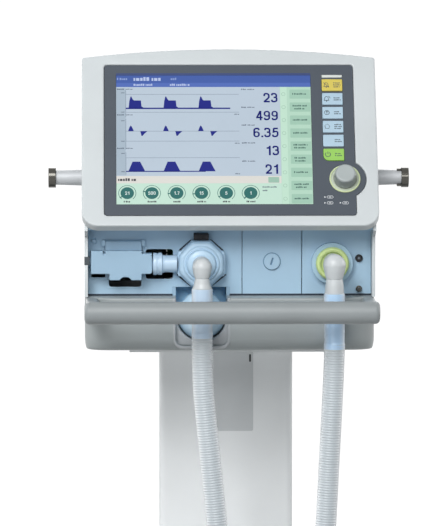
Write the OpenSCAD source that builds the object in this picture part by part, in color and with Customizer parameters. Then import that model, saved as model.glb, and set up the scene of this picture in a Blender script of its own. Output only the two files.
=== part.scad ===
// Mechanical ventilator on a wheeled column, with two breathing hoses.
// Millimetres, +Z up, front towards -Y, origin on the floor under the middle of the base.

/* [Housing] */
// Outer width of the housing
unit_w = 365; // [355:1:385]
// Depth of the housing behind the valve panels
unit_d = 305; // [290:1:340]
// Height of the ventilator's underside above the floor
unit_z = 872; // [850:1:910]
// Height of the base tray
tray_h = 67; // [64:1:76]
// Distance of the valve panels in front of the trolley's centre
bay_front = 140; // [130:1:150]
// Depth of the valve bay behind the bezel's lower edge
bay_depth = 60; // [56:1:70]
// Height of the valve bay
bay_h = 92; // [90:1:100]
// Thickness of the housing's walls
wall = 4; // [3:0.5:5]
// Thickness of the panels in the valve bay and of the rear panel
panel_wall = 4; // [3:0.5:5]
// Length of the side walls in front of the valve panels
bay_cheek = 23; // [15:1:26]
// Drop of the roof from front to rear
roof_drop = 30; // [20:1:50]
// Radius of the roof's rear edge
roof_r = 45; // [30:1:60]

/* [Bezel and control panel] */
// Lean of the control panel from upright, in degrees
tilt = 31; // [28:1:34]
// Overhang of the bezel over the housing on each side
bezel_over = 3.5; // [1:0.5:10]
// Height of the bezel's straight sides, up the slope
bezel_side = 241; // [238:1:260]
// Rise of the bezel's arched top edge
bezel_crown = 12.5; // [5:0.5:20]
// Thickness of the bezel
bezel_t = 14; // [13:0.5:18]
// Radius of the bezel's lower corners
bezel_r = 20; // [10:1:30]
// Margin of the bezel at each side of the control panel
bezel_margin = 28.5; // [26:0.5:34]
// Height of the control panel, up the slope
panel_h = 215; // [212:1:220]
// Margin of the bezel below the control panel
panel_v = 15; // [12:1:18]
// Thickness of the control panel
panel_t = 3; // [2:0.5:4]
// Depth of the control panel's face below the bezel's face
panel_recess = 0.8; // [0.4:0.1:1.5]
// Margin of the control panel left of the touchscreen
screen_margin = 15; // [10:0.5:20]
// Width of the control panel's strip right of the touchscreen
key_strip = 54; // [50:0.5:60]
// Height of the touchscreen
screen_h = 184.5; // [150:0.5:190]
// Thickness of the touchscreen
screen_t = 7.5; // [5:0.5:8]
// Place of the touchscreen's centre up the slope
screen_v = 123; // [118:0.5:126]

/* [Keys, lamp and knob] */
// Width of a key
key_w = 26; // [20:0.5:27]
// Distance from one key to the next
key_pitch = 20; // [18:0.1:22.4]
// Gap between two keys
key_gap = 3.2; // [3:0.1:5]
// Distance of the keys' centres from the panel's right edge
key_inset = 26.7; // [24:0.1:28]
// Place of the uppermost key's centre up the slope
key_v = 200.3; // [199:0.1:202]
// Height of a key above the panel
key_rise = 1.4; // [1:0.1:2]
// Travel of a key
key_travel = 0.8; // [0.4:0.1:1]
// Width of the alarm lamp
lamp_w = 25.7; // [20:0.1:27]
// Height of the alarm lamp
lamp_h = 3.7; // [2.5:0.1:4.5]
// Place of the alarm lamp up the slope
lamp_v = 213.4; // [213:0.1:216]
// Distance of the knob's centre from the panel's right edge
knob_inset = 13.5; // [12:0.5:16]
// Distance from the lowest key's centre down to the knob's
knob_drop = 34.3; // [32:0.1:38]
// Diameter of the knob's skirt
knob_d = 28; // [24:0.5:30]
// Diameter of the knob's cap
knob_cap_d = 22.5; // [18:0.5:24]
// Height of the knob
knob_h = 15; // [10:0.5:20]
// Push travel of the knob
knob_travel = 1; // [0.5:0.1:1.5]
// Outer diameter of the ring round the knob
ring_d = 39; // [36:0.5:44]
// Width of the ring round the knob
ring_w = 4; // [3:0.5:5]
// Radius of the control panel's lobe round the knob
lobe_r = 26.6; // [24:0.2:27]
// Diameter of the knob's spindle
spindle_d = 6; // [4:0.5:8]

/* [Valve bay] */
// Distance of the cell cover's left seam from the expiratory valve
valve_seam = 51.6; // [48:0.1:56]
// Distance of the cell cover's right seam from the inspiratory port
port_seam = 38; // [32:0.5:44]
// Height of the gas ports' axes above the base tray
port_h = 41; // [39:0.5:43]
// Distance of the expiratory valve from the housing's left side
valve_in = 146.5; // [144:0.5:150]
// Width of the expiratory valve's block
valve_w = 61; // [58:0.5:64]
// Depth of the expiratory valve's block
valve_d = 25; // [22:0.5:26]
// Diameter of the flow sensor's collar
sensor_d = 28; // [24:0.5:29]
// Distance of the flow sensor's axis in front of the valve panels
sensor_off = 11; // [11:0.5:13]
// Length of the sensor flap
flap_l = 76.5; // [70:0.5:78]
// Height of the sensor flap
flap_h = 29; // [27:0.5:31]
// Depth of the sensor flap
flap_d = 22; // [21:0.5:24]
// Wall of the sensor flap
flap_t = 2.5; // [2:0.5:3]
// Distance of the inspiratory port from the housing's right side
port_in = 53.5; // [50:0.5:56]
// Diameter of the inspiratory port's flange
flange_d = 52; // [48:0.5:56]
// Outer diameter of the port's ring
port_ring_d = 42; // [38:0.5:44]
// Diameter of the cover lock
lock_d = 21; // [16:0.5:24]
// Width of the niche for the water trap
niche_w = 72; // [70:0.5:76]
// Depth of the niche behind the tray's front
niche_d = 62; // [60:1:66]
// Diameter of the water trap's bowl
bowl_d = 61; // [56:0.5:62]

/* [Front bar and side studs] */
// Diameter of the front bar
bar_d = 28; // [22:0.5:32]
// Distance of the front bar in front of the valve panels
bar_off = 126; // [118:1:140]
// Height of the front bar's axis above the tray's underside
bar_h = 55; // [50:1:58]
// Diameter of a side stud
stud_d = 20; // [16:0.5:24]
// Length of a side stud with its cap
stud_l = 46; // [36:1:60]
// Diameter of a stud's cap
stud_cap_d = 25; // [22:0.5:30]
// Length of a stud's cap
stud_cap_l = 9.5; // [6:0.5:14]

/* [Trolley] */
// Width of the base
base_w = 577; // [560:1:640]
// Depth of the base
base_d = 677; // [660:1:720]
// Width of a base beam
beam_w = 60; // [56:1:70]
// Height of a base beam
beam_h = 42; // [36:1:60]
// Width of the column
col_w = 172; // [150:1:200]
// Depth of the column
col_d = 100; // [80:1:120]
// Distance of the column's front behind the trolley's centre
col_y = 25; // [10:1:40]
// Thickness of the column's sheet metal
sheet = 3; // [2:0.5:4]
// Diameter of a caster wheel
wheel_d = 100; // [90:1:110]
// Width of one wheel of a twin caster
wheel_w = 20; // [15:0.5:24]
// Distance of the wheel's axle behind the swivel
trail = 25; // [20:1:30]

/* [Hoses] */
// Outer diameter of a hose over its ribs
hose_d = 26.7; // [24:0.1:28]
// Depth of a rib
rib_d = 1.6; // [1:0.1:2]
// Bore of a hose
hose_bore = 19; // [16:0.5:20]
// Number of ribs on a hose
ribs = 108; // [60:1:108]
// Length of the smooth cuff at a hose's end
cuff_l = 62; // [40:1:70]
// Bore of the patient port
patient_bore = 15; // [14:0.5:15.5]

/* [Hidden] */
$fn = 64;

// Clearances
gap = 0.3;
run = 0.05;
seam = 0.8;
over = 1;

// Shared levels and planes
bay_y = -bay_front;
lip_y = bay_y - bay_depth;
rear_y = bay_y + unit_d;
tray_top = unit_z + tray_h;
lip_z = tray_top + bay_h;
half_w = unit_w / 2;
inner_w = unit_w - 2 * wall;
bezel_w = unit_w + 2 * bezel_over;
panel_w = bezel_w - 2 * bezel_margin;
screen_w = panel_w - screen_margin - key_strip;
screen_x = screen_margin + screen_w / 2 - panel_w / 2;
key_x = panel_w / 2 - key_inset;
key_h = key_pitch - key_gap;
last_key = 5;
knob_v = key_v - last_key * key_pitch - knob_drop;
knob_x = panel_w / 2 - knob_inset;
valve_x = valve_in - half_w;
port_x = half_w - port_in;
seam_left = valve_x + valve_seam;
seam_right = port_x - port_seam;
lock_x = (seam_left + seam_right) / 2;
port_z = tray_top + port_h;
ceiling_z = lip_z - bezel_t * sin(tilt) + seam;
ceiling_y = lip_y + bezel_t * cos(tilt) + 5;
panel_top = ceiling_z + panel_wall;
floor_z = unit_z + wall;

// Levels in the control panel's own frame, along its outward normal
panel_face = -panel_recess;
panel_back = panel_face - panel_t;
screen_face = panel_face - 0.4;
screen_back = screen_face - screen_t;
board_face = screen_back - gap;
board_t = 1.6;
key_flange_t = 1;
key_colours = ["khaki", "lightsteelblue", "lightsteelblue", "lightsteelblue", "lightsteelblue",
    "yellowgreen"];

// Colours shared by several pieces
bay_blue = "lightblue";
shell_grey = "gainsboro";
tray_grey = "darkgray";
frame_grey = "silver";

module block(lo, hi) {
    translate(lo) cube(hi - lo);
}

module rod_x(r, x0, x1) {
    translate([x0, 0, 0]) rotate([0, 90, 0]) cylinder(r = r, h = x1 - x0);
}

module rod_y(r, y0, y1) {
    translate([0, y1, 0]) rotate([90, 0, 0]) cylinder(r = r, h = y1 - y0);
}

module rod_z(r, z0, z1) {
    translate([0, 0, z0]) cylinder(r = r, h = z1 - z0);
}

// A side view, given as Y and Z, drawn out along X and centred
module along_x(w) {
    rotate([90, 0, 90]) linear_extrude(w, center = true) children();
}

// A front view, given as X and Z, drawn out from y1 forwards to y0
module along_y(y0, y1) {
    translate([0, y1, 0]) rotate([90, 0, 0]) linear_extrude(y1 - y0) children();
}

module rounded_rect(w, h, r) {
    square([w, h - 2 * r], center = true);
    square([w - 2 * r, h], center = true);
    for (sx = [-1, 1], sy = [-1, 1])
        translate([sx * (w / 2 - r), sy * (h / 2 - r)]) circle(r);
}

function arc(centre, r, a0, a1, steps) =
    [for (i = [0:steps]) centre + r * [cos(a0 + (a1 - a0) * i / steps), sin(a0 + (a1 - a0) * i / steps)]];

// A point of the control panel's frame as Y and Z: v up the slope, n along the normal
function on_slope(v, n) = [lip_y + v * sin(tilt) - n * cos(tilt), lip_z + v * cos(tilt) + n * sin(tilt)];

module panel_frame() {
    translate([0, lip_y, lip_z]) rotate([90 - tilt, 0, 0]) children();
}

// A flat shape of the control panel's frame between two levels of its normal
module panel_layer(n0, n1) {
    panel_frame() translate([0, 0, n0]) linear_extrude(n1 - n0) children();
}

// Housing

roof_front = on_slope(bezel_side - wall, -bezel_t);
roof_rear_z = roof_front[1] - roof_drop;
stud_up = 54.5;
stud_back = 50;
stud_z = lip_z + stud_up;
stud_y = bay_y + stud_back;
stud_root_r = stud_d / 2 - 4;
notch_z = [port_z - 1, port_z + 10];

module housing_side() {
    polygon(concat(
        [[bay_y - bay_cheek, tray_top], [bay_y - bay_cheek, ceiling_z - 10],
            on_slope(0, -bezel_t), roof_front],
        arc([rear_y - roof_r, roof_rear_z - roof_r], roof_r, 90, 0, 8),
        [[rear_y, tray_top]]));
}

module housing_hollow() {
    polygon(concat(
        [[lip_y - unit_d, tray_top - unit_d], [lip_y - unit_d, roof_front[1] - wall],
            [roof_front[0], roof_front[1] - wall]],
        arc([rear_y - roof_r, roof_rear_z - roof_r], roof_r - wall, 90, 0, 8),
        [[rear_y + unit_d, roof_rear_z - roof_r], [rear_y + unit_d, tray_top - unit_d]]));
}

module rear_housing() {
    color(shell_grey) difference() {
        along_x(unit_w) housing_side();
        along_x(inner_w) housing_hollow();
        translate([0, stud_y, stud_z]) rod_x(stud_root_r, -half_w - over, half_w + over);
        block([-half_w - over, bay_y - 6, notch_z[0]], [-half_w + wall + over, bay_y + 5, notch_z[1]]);
    }
}

// Bezel and control panel

bezel_top = bezel_side + bezel_crown;
bezel_arch_r = (pow(bezel_w / 2, 2) + pow(bezel_crown, 2)) / (2 * bezel_crown);
panel_mid = panel_v + panel_h / 2;
panel_r = 4;
ledge = 7;

module bezel_outline() {
    full = bezel_top + bezel_r;
    intersection() {
        translate([0, full / 2]) rounded_rect(bezel_w, full, bezel_r);
        translate([0, bezel_top - bezel_arch_r]) circle(bezel_arch_r, $fn = 360);
    }
}

module panel_outline(grow) {
    translate([0, panel_mid]) rounded_rect(panel_w + 2 * grow, panel_h + 2 * grow, panel_r + grow);
    translate([knob_x, knob_v]) circle(lobe_r + grow);
}

module front_bezel() {
    color(shell_grey) difference() {
        panel_layer(-bezel_t, 0) bezel_outline();
        panel_layer(panel_back, over) panel_outline(gap);
        panel_layer(-bezel_t - over, over) {
            translate([0, panel_mid]) square([panel_w - 2 * ledge, panel_h - 2 * ledge], center = true);
            translate([knob_x, knob_v]) circle(lobe_r - ledge);
        }
    }
}

module control_panel() {
    color("dimgray") difference() {
        panel_layer(panel_back, panel_face) panel_outline(0);
        panel_layer(panel_back - over, panel_face + over) {
            translate([screen_x, screen_v]) square([screen_w + 2 * gap, screen_h + 2 * gap], center = true);
            translate([key_x, lamp_v]) square([lamp_w + 2 * gap, lamp_h + 2 * gap], center = true);
            for (i = [0:5]) key_place(i) key_outline(gap, key_corner(i));
            translate([knob_x, knob_v]) circle(spindle_d / 2 + knob_travel);
        }
    }
}

module touchscreen() {
    color("steelblue") panel_layer(screen_back, screen_face)
        translate([screen_x, screen_v]) square([screen_w, screen_h], center = true);
}

lamp_flange = 1;

module alarm_lamp() {
    color("honeydew") {
        panel_layer(panel_back - key_flange_t, panel_face + key_rise / 2)
            translate([key_x, lamp_v]) square([lamp_w, lamp_h], center = true);
        panel_layer(panel_back - key_flange_t, panel_back)
            translate([key_x, lamp_v]) square([lamp_w + 2 * lamp_flange, lamp_h], center = true);
    }
}

// Keys: a cap through the panel, a flange that keeps it there and a stem to the board's switch

function key_corner(i) = i == last_key ? 7 : 1;

module key_place(i) {
    translate([key_x, key_v - i * key_pitch]) children();
}

module key_outline(grow, corner) {
    w = key_w + 2 * grow;
    h = key_h + 2 * grow;
    r = corner + grow;
    translate([r - w / 2, -h / 2]) square([w - r, h]);
    translate([-w / 2, r - h / 2]) square([w, h - r]);
    translate([r - w / 2, r - h / 2]) circle(r);
}

key_flange_top = panel_back - gap;
key_stem_r = 2;
key_flange = 1;

module panel_key(i) {
    color(key_colours[i]) {
        panel_layer(key_flange_top - key_flange_t, panel_face + key_rise)
            key_place(i) key_outline(0, key_corner(i));
        panel_layer(key_flange_top - key_flange_t, key_flange_top)
            key_place(i) square([key_w + 2 * key_flange, key_h + 2 * key_flange], center = true);
        panel_layer(board_face + key_travel + gap, key_flange_top)
            key_place(i) circle(key_stem_r);
    }
}

// Knob: the spindle slides in the encoder, and the knob turns on the spindle

knob_base = panel_face + knob_travel + gap;
knob_roof = 4;
spindle_end = knob_base + knob_h - knob_roof;
encoder_w = 14;
ring_t = 2.4;
encoder_top = panel_back - gap;

module knob_ring() {
    color("palegreen") panel_layer(panel_face, panel_face + ring_t) translate([knob_x, knob_v]) difference() {
        circle(ring_d / 2);
        circle(ring_d / 2 - ring_w);
    }
}

module knob_spindle() {
    color("silver") panel_layer(board_face + gap, spindle_end)
        translate([knob_x, knob_v]) circle(spindle_d / 2);
}

module rotary_knob() {
    r0 = knob_d / 2;
    r1 = knob_cap_d / 2;
    color("lightgray") panel_frame() translate([knob_x, knob_v, knob_base]) rotate_extrude()
        polygon([[spindle_d / 2 + run, 0], [r0, 0], [r0, 2], [r0 - 1.5, 3.5], [r1 + 0.5, knob_h - knob_roof],
            [r1, knob_h - 1], [r1 - 1, knob_h], [r1 - 3, knob_h], [r1 - 4, knob_h - 0.6],
            [0, knob_h - 0.6], [0, knob_h - knob_roof + gap],
            [spindle_d / 2 + run, knob_h - knob_roof + gap]]);
}

module main_board() {
    w = panel_w - 2 * ledge - 4;
    h = panel_h - 2 * ledge - 4;
    color("seagreen") difference() {
        union() {
            panel_layer(board_face - board_t, board_face)
                translate([0, panel_mid]) square([w, h], center = true);
            panel_layer(board_face - board_t, encoder_top)
                translate([knob_x, knob_v]) square(encoder_w, center = true);
        }
        panel_layer(board_face - board_t - over, encoder_top + over)
            translate([knob_x, knob_v]) circle(spindle_d / 2 + run);
    }
}

// Panels of the valve bay: a front plate with a ceiling that runs forwards under the bezel

module bay_panel(x0, x1) {
    block([x0, bay_y, tray_top + seam], [x1, bay_y + panel_wall, panel_top]);
    block([x0, ceiling_y, ceiling_z], [x1, bay_y + panel_wall, panel_top]);
}

sensor_y = bay_y - sensor_off;
sensor_bore = 14;
valve_left = valve_x - valve_w / 2;
flap_x1 = valve_left - 31.5;
flap_x0 = flap_x1 - flap_l;
flap_z0 = port_z - 12;
flap_z1 = flap_z0 + flap_h;
flap_back = bay_y - 1.5;
flap_front = flap_back - flap_d;
hinge_r = 3.4;
hinge_pin_r = 1.5;
hinge_y = bay_y - hinge_r - gap;
hinge_z = flap_z1 + 9;
tab_in = 18;
tab_x0 = flap_x0 + tab_in;
tab_x1 = flap_x1 - 13;
lug_t = 4;
tongue_x0 = tab_x0 + 5;
tongue_h = 8;
finger_r = 8.5;
window_x1 = valve_left - 4.5;
window_drop = 20;
window_rise = 18;
window_z = [port_z - window_drop, port_z + window_rise];
recess_drop = 30;
recess_h = 12;
recess_z = [port_z - recess_drop, port_z - recess_drop + recess_h];
valve_h = valve_w - 1.5;
trap_z1 = port_z - valve_h / 2 - gap;
niche_x0 = valve_x - niche_w / 2;
niche_x1 = valve_x + niche_w / 2;
spigot_r = 19;

module valve_panel() {
    x0 = -half_w + wall + gap;
    color(bay_blue) difference() {
        union() {
            bay_panel(x0, seam_left - seam / 2);
            for (x = [tab_x0 - gap - lug_t, tab_x1 + gap])
                block([x, hinge_y - hinge_r, hinge_z - hinge_r], [x + lug_t, bay_y, hinge_z + hinge_r]);
            translate([0, hinge_y, hinge_z]) rod_x(hinge_pin_r, tab_x0 - gap - over, tab_x1 + gap + over);
        }
        block([flap_x1 - 8, bay_y - over, window_z[0]], [window_x1, bay_y + panel_wall + over, window_z[1]]);
        block([tongue_x0 - 1, bay_y - over, recess_z[0]], [tab_x1, bay_y + panel_wall + over, recess_z[1]]);
        block([flap_x0, bay_y - over, flap_z0 - 6], [tab_x0, bay_y + panel_wall + over, flap_z0]);
        block([niche_x0, bay_y - over, unit_z], [niche_x1, bay_y + panel_wall + over, trap_z1]);
        translate([valve_x, 0, port_z]) rod_y(spigot_r + run, bay_y - over, bay_y + panel_wall + over);
    }
}

lock_stem_r = 6;
lock_t = 3;
lock_slot = 2.4;
lock_z = port_z + 2;

module cell_cover() {
    color(bay_blue) difference() {
        bay_panel(seam_left + seam / 2, seam_right - seam / 2);
        translate([lock_x, 0, lock_z]) rod_y(lock_stem_r + run, bay_y - over, bay_y + panel_wall + over);
    }
}

// Quarter-turn lock: slotted head in front, stem through the cover and a cam plate behind it
module cover_lock() {
    cam_y = bay_y + panel_wall + gap;
    color(bay_blue) translate([lock_x, 0, lock_z]) {
        difference() {
            rod_y(lock_d / 2, bay_y - gap - lock_t, bay_y - gap);
            along_y(bay_y - gap - lock_t - over, bay_y - gap - lock_t / 2)
                square([lock_d - 6, lock_slot], center = true);
        }
        rod_y(lock_stem_r, bay_y - gap, cam_y);
        block([-lock_d / 2, cam_y, -lock_stem_r], [lock_d / 2, cam_y + lock_t, lock_stem_r]);
    }
}

elbow_r = 12.5;
spigot_in = elbow_r - 1;
flange_t = 10;
port_r = spigot_in + run;
socket_x = port_x + 34;
socket_z = port_z + 6;
nozzle_z = tray_top + 8.5;

module port_panel() {
    color(bay_blue) difference() {
        union() {
            bay_panel(seam_right + seam / 2, half_w - wall - gap);
            translate([port_x, 0, port_z]) rod_y(flange_d / 2, bay_y - flange_t, bay_y);
        }
        translate([port_x, 0, port_z]) rod_y(port_r, bay_y - flange_t - over, bay_y + panel_wall + over);
        translate([socket_x, 0, socket_z]) rod_y(socket_r + run, bay_y - over, bay_y + panel_wall + over);
        translate([socket_x, 0, nozzle_z]) rod_y(nozzle_r + run, bay_y - over, bay_y + panel_wall + over);
    }
}

port_ring_t = 10;

module port_ring() {
    color("palegreen") translate([port_x, 0, port_z]) difference() {
        rod_y(port_ring_d / 2, bay_y - flange_t - port_ring_t, bay_y - flange_t);
        rod_y(port_r, bay_y - flange_t - port_ring_t - over, bay_y - flange_t + over);
    }
}

socket_r = 4.6;
socket_out = 3;
nozzle_r = 2.5;
nozzle_l = 12;
nozzle_nut = 4;

module front_sockets() {
    color("black") translate([socket_x, 0, socket_z]) rod_y(socket_r, bay_y - socket_out, bay_y + panel_wall);
    color("silver") translate([socket_x, 0, nozzle_z]) difference() {
        union() {
            rod_y(nozzle_r, bay_y - nozzle_l, bay_y + panel_wall);
            rod_y(nozzle_r + 1.5, bay_y - nozzle_nut, bay_y);
        }
        rod_y(1, bay_y - nozzle_l - over, bay_y - nozzle_nut);
    }
}

// Flow sensor and its flap

sensor_l = 30;
sensor_stub = 40;
tube_step = 3.2;
stub_step = 5;

module flow_sensor() {
    x1 = valve_left - run;
    color("aliceblue") translate([0, sensor_y, port_z]) difference() {
        union() {
            rod_x(sensor_d / 2 - tube_step, x1 - sensor_l, x1);
            rod_x(sensor_d / 2, flap_x1 + 1, flap_x1 + 13);
            rod_x(sensor_d / 2 - stub_step, flap_x1 - sensor_stub, x1 - sensor_l);
        }
        rod_x(sensor_bore / 2, flap_x1 - sensor_stub - over, x1 + over);
    }
}

module sensor_flap() {
    color(bay_blue) difference() {
        union() {
            block([flap_x0, flap_front, flap_z0], [flap_x1, flap_front + flap_t, flap_z1]);
            block([flap_x0, flap_front, flap_z1 - flap_t], [flap_x1, flap_back, flap_z1]);
            block([flap_x0, flap_front, flap_z0], [flap_x0 + flap_t, flap_back, flap_z1]);
            block([tongue_x0, flap_front, flap_z0 - tongue_h], [tab_x1, flap_front + flap_t, flap_z0 + over]);
            block([tab_x0, hinge_y - hinge_r, flap_z1 - flap_t], [tab_x1, hinge_y, hinge_z]);
            translate([0, hinge_y, hinge_z]) rod_x(hinge_r, tab_x0, tab_x1);
        }
        translate([0, hinge_y, hinge_z]) rod_x(hinge_pin_r + run, tab_x0 - over, tab_x1 + over);
        translate([(tongue_x0 + tab_x1) / 2, 0, flap_z0 - tongue_h - finger_r / 2])
            rod_y(finger_r, flap_front - over, flap_front + flap_t + over);
    }
}

// Expiratory valve: octagonal block with a spigot behind and a domed boss in front

valve_cut = 15;
boss_r = 22;
boss_t = 5;
elbow_bore = 8;
hose_y = -208;
exp_hose_z = 953;
insp_hose_z = 947;

module octagon(w, h, c) {
    intersection() {
        square([w, h], center = true);
        rotate(45) square((w + h - 2 * c) / sqrt(2), center = true);
    }
}

module expiratory_valve() {
    color("lightcyan") translate([valve_x, 0, port_z]) difference() {
        union() {
            along_y(bay_y - valve_d, bay_y) octagon(valve_w, valve_h, valve_cut);
            rod_y(boss_r, bay_y - valve_d - boss_t, bay_y - valve_d);
            rod_y(spigot_r, bay_y, bay_y + panel_wall + 10);
        }
        rod_y(elbow_bore + 1, bay_y - valve_d - boss_t - over, bay_y - 5);
        translate([0, sensor_y, 0]) rod_x(sensor_bore / 2, -valve_w / 2 - over, 0);
    }
}

catch_w = 19;
catch_h = 8;
catch_d = 16;

// Catch above the valve: it slides aside to free the valve
module valve_catch() {
    z0 = port_z + valve_h / 2 + gap;
    color("black") translate([valve_x, bay_y, z0])
        block([-catch_w / 2, -catch_d, 0], [catch_w / 2, -gap, catch_h]);
}

// An elbow: collar against its port, round knee and a neck that widens at the hose
module elbow(y_port, z_hose) {
    knee = hose_y;
    collar_l = 10;
    difference() {
        union() {
            translate([0, knee, port_z]) sphere(elbow_r);
            translate([0, 0, port_z]) rod_y(spigot_in, knee, y_port);
            translate([0, knee, 0]) rod_z(elbow_r - 3, z_hose, port_z);
            translate([0, knee, 0]) rod_z(elbow_r - 0.5, z_hose, z_hose + collar_l);
        }
        translate([0, 0, port_z]) rod_y(elbow_bore, knee, y_port + over);
        translate([0, knee, 0]) rod_z(elbow_bore, z_hose - over, port_z);
    }
}

module expiratory_elbow() {
    color("white") translate([valve_x, 0, 0]) elbow(bay_y - valve_d - boss_t, exp_hose_z);
}

module inspiratory_elbow() {
    color("white") translate([port_x, 0, 0]) elbow(bay_y, insp_hose_z);
}

// Water trap: a bowl with a round bottom that hangs under the valve

bowl_y = bay_y - 16;
bowl_bottom = unit_z + 13;
bowl_t = 2;
neck_r = 10;
neck_h = 6;

module water_trap() {
    r = bowl_d / 2;
    z_mid = bowl_bottom + r;
    color("lightskyblue") translate([valve_x, bowl_y, 0]) difference() {
        union() {
            translate([0, 0, z_mid]) sphere(r);
            rod_z(r, z_mid, trap_z1 - neck_h);
            rod_z(neck_r, trap_z1 - neck_h - over, trap_z1 + gap);
        }
        translate([0, 0, z_mid]) sphere(r - bowl_t);
        rod_z(r - bowl_t, z_mid, trap_z1 - neck_h - 3);
        rod_z(neck_r - 3, trap_z1 - neck_h - 4, trap_z1 + gap + over);
    }
}

// Small round screws on the valve panel and the rear panel

screw_r = 3;
screw_t = 1.6;
rear_screw_x = inner_w / 2 - 9;
rear_screws_z = [tray_top + 12, roof_rear_z - roof_r - 10];

module panel_screws() {
    color("lightgray") {
        translate([flap_x0 + 4, 0, flap_z1 + 11]) rod_y(screw_r, bay_y - screw_t, bay_y);
        for (sx = [-1, 1], z = rear_screws_z)
            translate([sx * rear_screw_x, 0, z]) rod_y(screw_r, rear_y1, rear_y1 + screw_t);
    }
}

// Base tray: a tub under the housing, with a shelf in front of the valve panels and a niche for the bowl

tray_y0 = bay_y - 40;
tray_corner = 45;
niche_r = 10;

module tray_plan(inset) {
    w = unit_w - 2 * inset;
    r = tray_corner - inset;
    y0 = tray_y0 + inset;
    y1 = rear_y - inset;
    translate([-w / 2, y0 + r]) square([w, y1 - y0 - r]);
    translate([r - w / 2, y0]) square([w - 2 * r, y1 - y0]);
    for (sx = [-1, 1]) translate([sx * (w / 2 - r), y0 + r]) circle(r);
}

module niche_shape() {
    h = tray_h + 2 * niche_r;
    translate([valve_x, floor_z + h / 2]) rounded_rect(niche_w, h, niche_r);
}

module base_tray() {
    niche_back = tray_y0 + niche_d;
    color(tray_grey) difference() {
        union() {
            difference() {
                translate([0, 0, unit_z]) linear_extrude(tray_h) tray_plan(0);
                translate([0, 0, floor_z]) linear_extrude(tray_h - 2 * wall) tray_plan(wall);
                block([-inner_w / 2, bay_y + panel_wall, floor_z],
                    [inner_w / 2, rear_y - wall, tray_top + over]);
            }
            block([niche_x0 - wall, tray_y0 + wall / 2, unit_z],
                [niche_x1 + wall, niche_back + wall, tray_top]);
        }
        along_y(tray_y0 - over, niche_back) niche_shape();
    }
}

// Front bar with an arm at each end

bar_y = bay_y - bar_off;
bar_z = unit_z + bar_h;
arm_w = 18;
arm_h = 20;

module front_bar() {
    color(tray_grey) {
        translate([0, bar_y, bar_z]) rod_x(bar_d / 2, -half_w, half_w);
        difference() {
            for (x0 = [-half_w, half_w - arm_w])
                block([x0, bar_y, bar_z - arm_h / 2], [x0 + arm_w, tray_y0 + tray_corner, bar_z + arm_h / 2]);
            translate([0, 0, unit_z]) linear_extrude(tray_h) tray_plan(0);
        }
    }
}

// Side studs on the housing, each with a metal cap

module side_studs() {
    color("silver") for (sx = [-1, 1]) mirror([sx < 0 ? 1 : 0, 0, 0]) translate([0, stud_y, stud_z]) {
        rod_x(stud_d / 2, half_w, half_w + stud_l - stud_cap_l);
        rod_x(stud_root_r - run, half_w - 2 * wall, half_w);
    }
}

module stud_caps() {
    x0 = half_w + stud_l - stud_cap_l;
    color("gray") for (sx = [-1, 1]) mirror([sx < 0 ? 1 : 0, 0, 0])
        translate([0, stud_y, stud_z]) rod_x(stud_cap_d / 2, x0, x0 + stud_cap_l);
}

// Inside the housing

blower_r = 52;
blower_h = 64;
blower_in = 77.5;
blower_back = 105;
outlet_reach = 26;
blower_x = half_w - blower_in;
blower_y = rear_y - blower_back;
impeller_r = 40;
shaft_r = 4;
blower_wall = 4;
bearing_h = 12;
outlet_l = blower_r + outlet_reach;
outlet_r = 11;
outlet_z = 26;
outlet_w = 16;
intake_r = 18;

module blower_housing() {
    color("slategray") translate([blower_x, blower_y, 0]) difference() {
        union() {
            rod_z(blower_r, floor_z, floor_z + blower_h);
            block([-outlet_w, -outlet_l, floor_z + outlet_z - outlet_w],
                [outlet_w, 0, floor_z + outlet_z + outlet_w]);
        }
        rod_z(blower_r - blower_wall, floor_z + bearing_h, floor_z + blower_h - blower_wall);
        rod_z(intake_r, floor_z + blower_h - blower_wall - over, floor_z + blower_h + over);
        rod_z(shaft_r + run, floor_z + blower_wall, floor_z + bearing_h + over);
        translate([0, 0, floor_z + outlet_z]) rod_y(outlet_r, -outlet_l - over, -blower_r + 6);
    }
}

module blower_impeller() {
    z0 = floor_z + bearing_h + 2;
    blade_h = 20;
    hub_r = 12;
    color("lightgray") translate([blower_x, blower_y, 0]) {
        rod_z(shaft_r, floor_z + blower_wall + gap, z0 + blade_h);
        rod_z(impeller_r, z0, z0 + 3);
        rod_z(hub_r, z0, z0 + blade_h + 8);
        for (i = [0:11]) rotate([0, 0, i * 30])
            block([hub_r - over, -1, z0 + over], [impeller_r - over, 1, z0 + blade_h]);
    }
}

// Mixing block behind the inspiratory port
module gas_block() {
    y0 = bay_y + panel_wall;
    gas_w = 56;
    gas_l = 70;
    gas_drop = 22;
    gas_rise = 26;
    color("slategray") translate([port_x, 0, port_z]) difference() {
        block([-gas_w / 2, y0, -gas_drop], [gas_w / 2, y0 + gas_l, gas_rise]);
        rod_y(elbow_bore, y0 - over, y0 + gas_l - 10);
    }
}

supply_in = 18;
supply_back = 40;
battery_gap = 18.5;
blower_gap = 17;
supply_x = supply_in - half_w;
supply_w = 84;
supply_l = 150;
supply_h = 74;
battery_x = supply_x + supply_w + battery_gap;
battery_w = blower_x - blower_r - blower_gap - battery_x;
battery_l = 130;
battery_h = 66;
bay_rear = rear_y - supply_back;

module power_supply() {
    color("lightslategray")
        block([supply_x, bay_rear - supply_l, floor_z], [supply_x + supply_w, bay_rear, floor_z + supply_h]);
}

module battery_pack() {
    color("darkslategray")
        block([battery_x, bay_rear - battery_l, floor_z],
            [battery_x + battery_w, bay_rear, floor_z + battery_h]);
}

// Rear panel and what it carries

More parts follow.
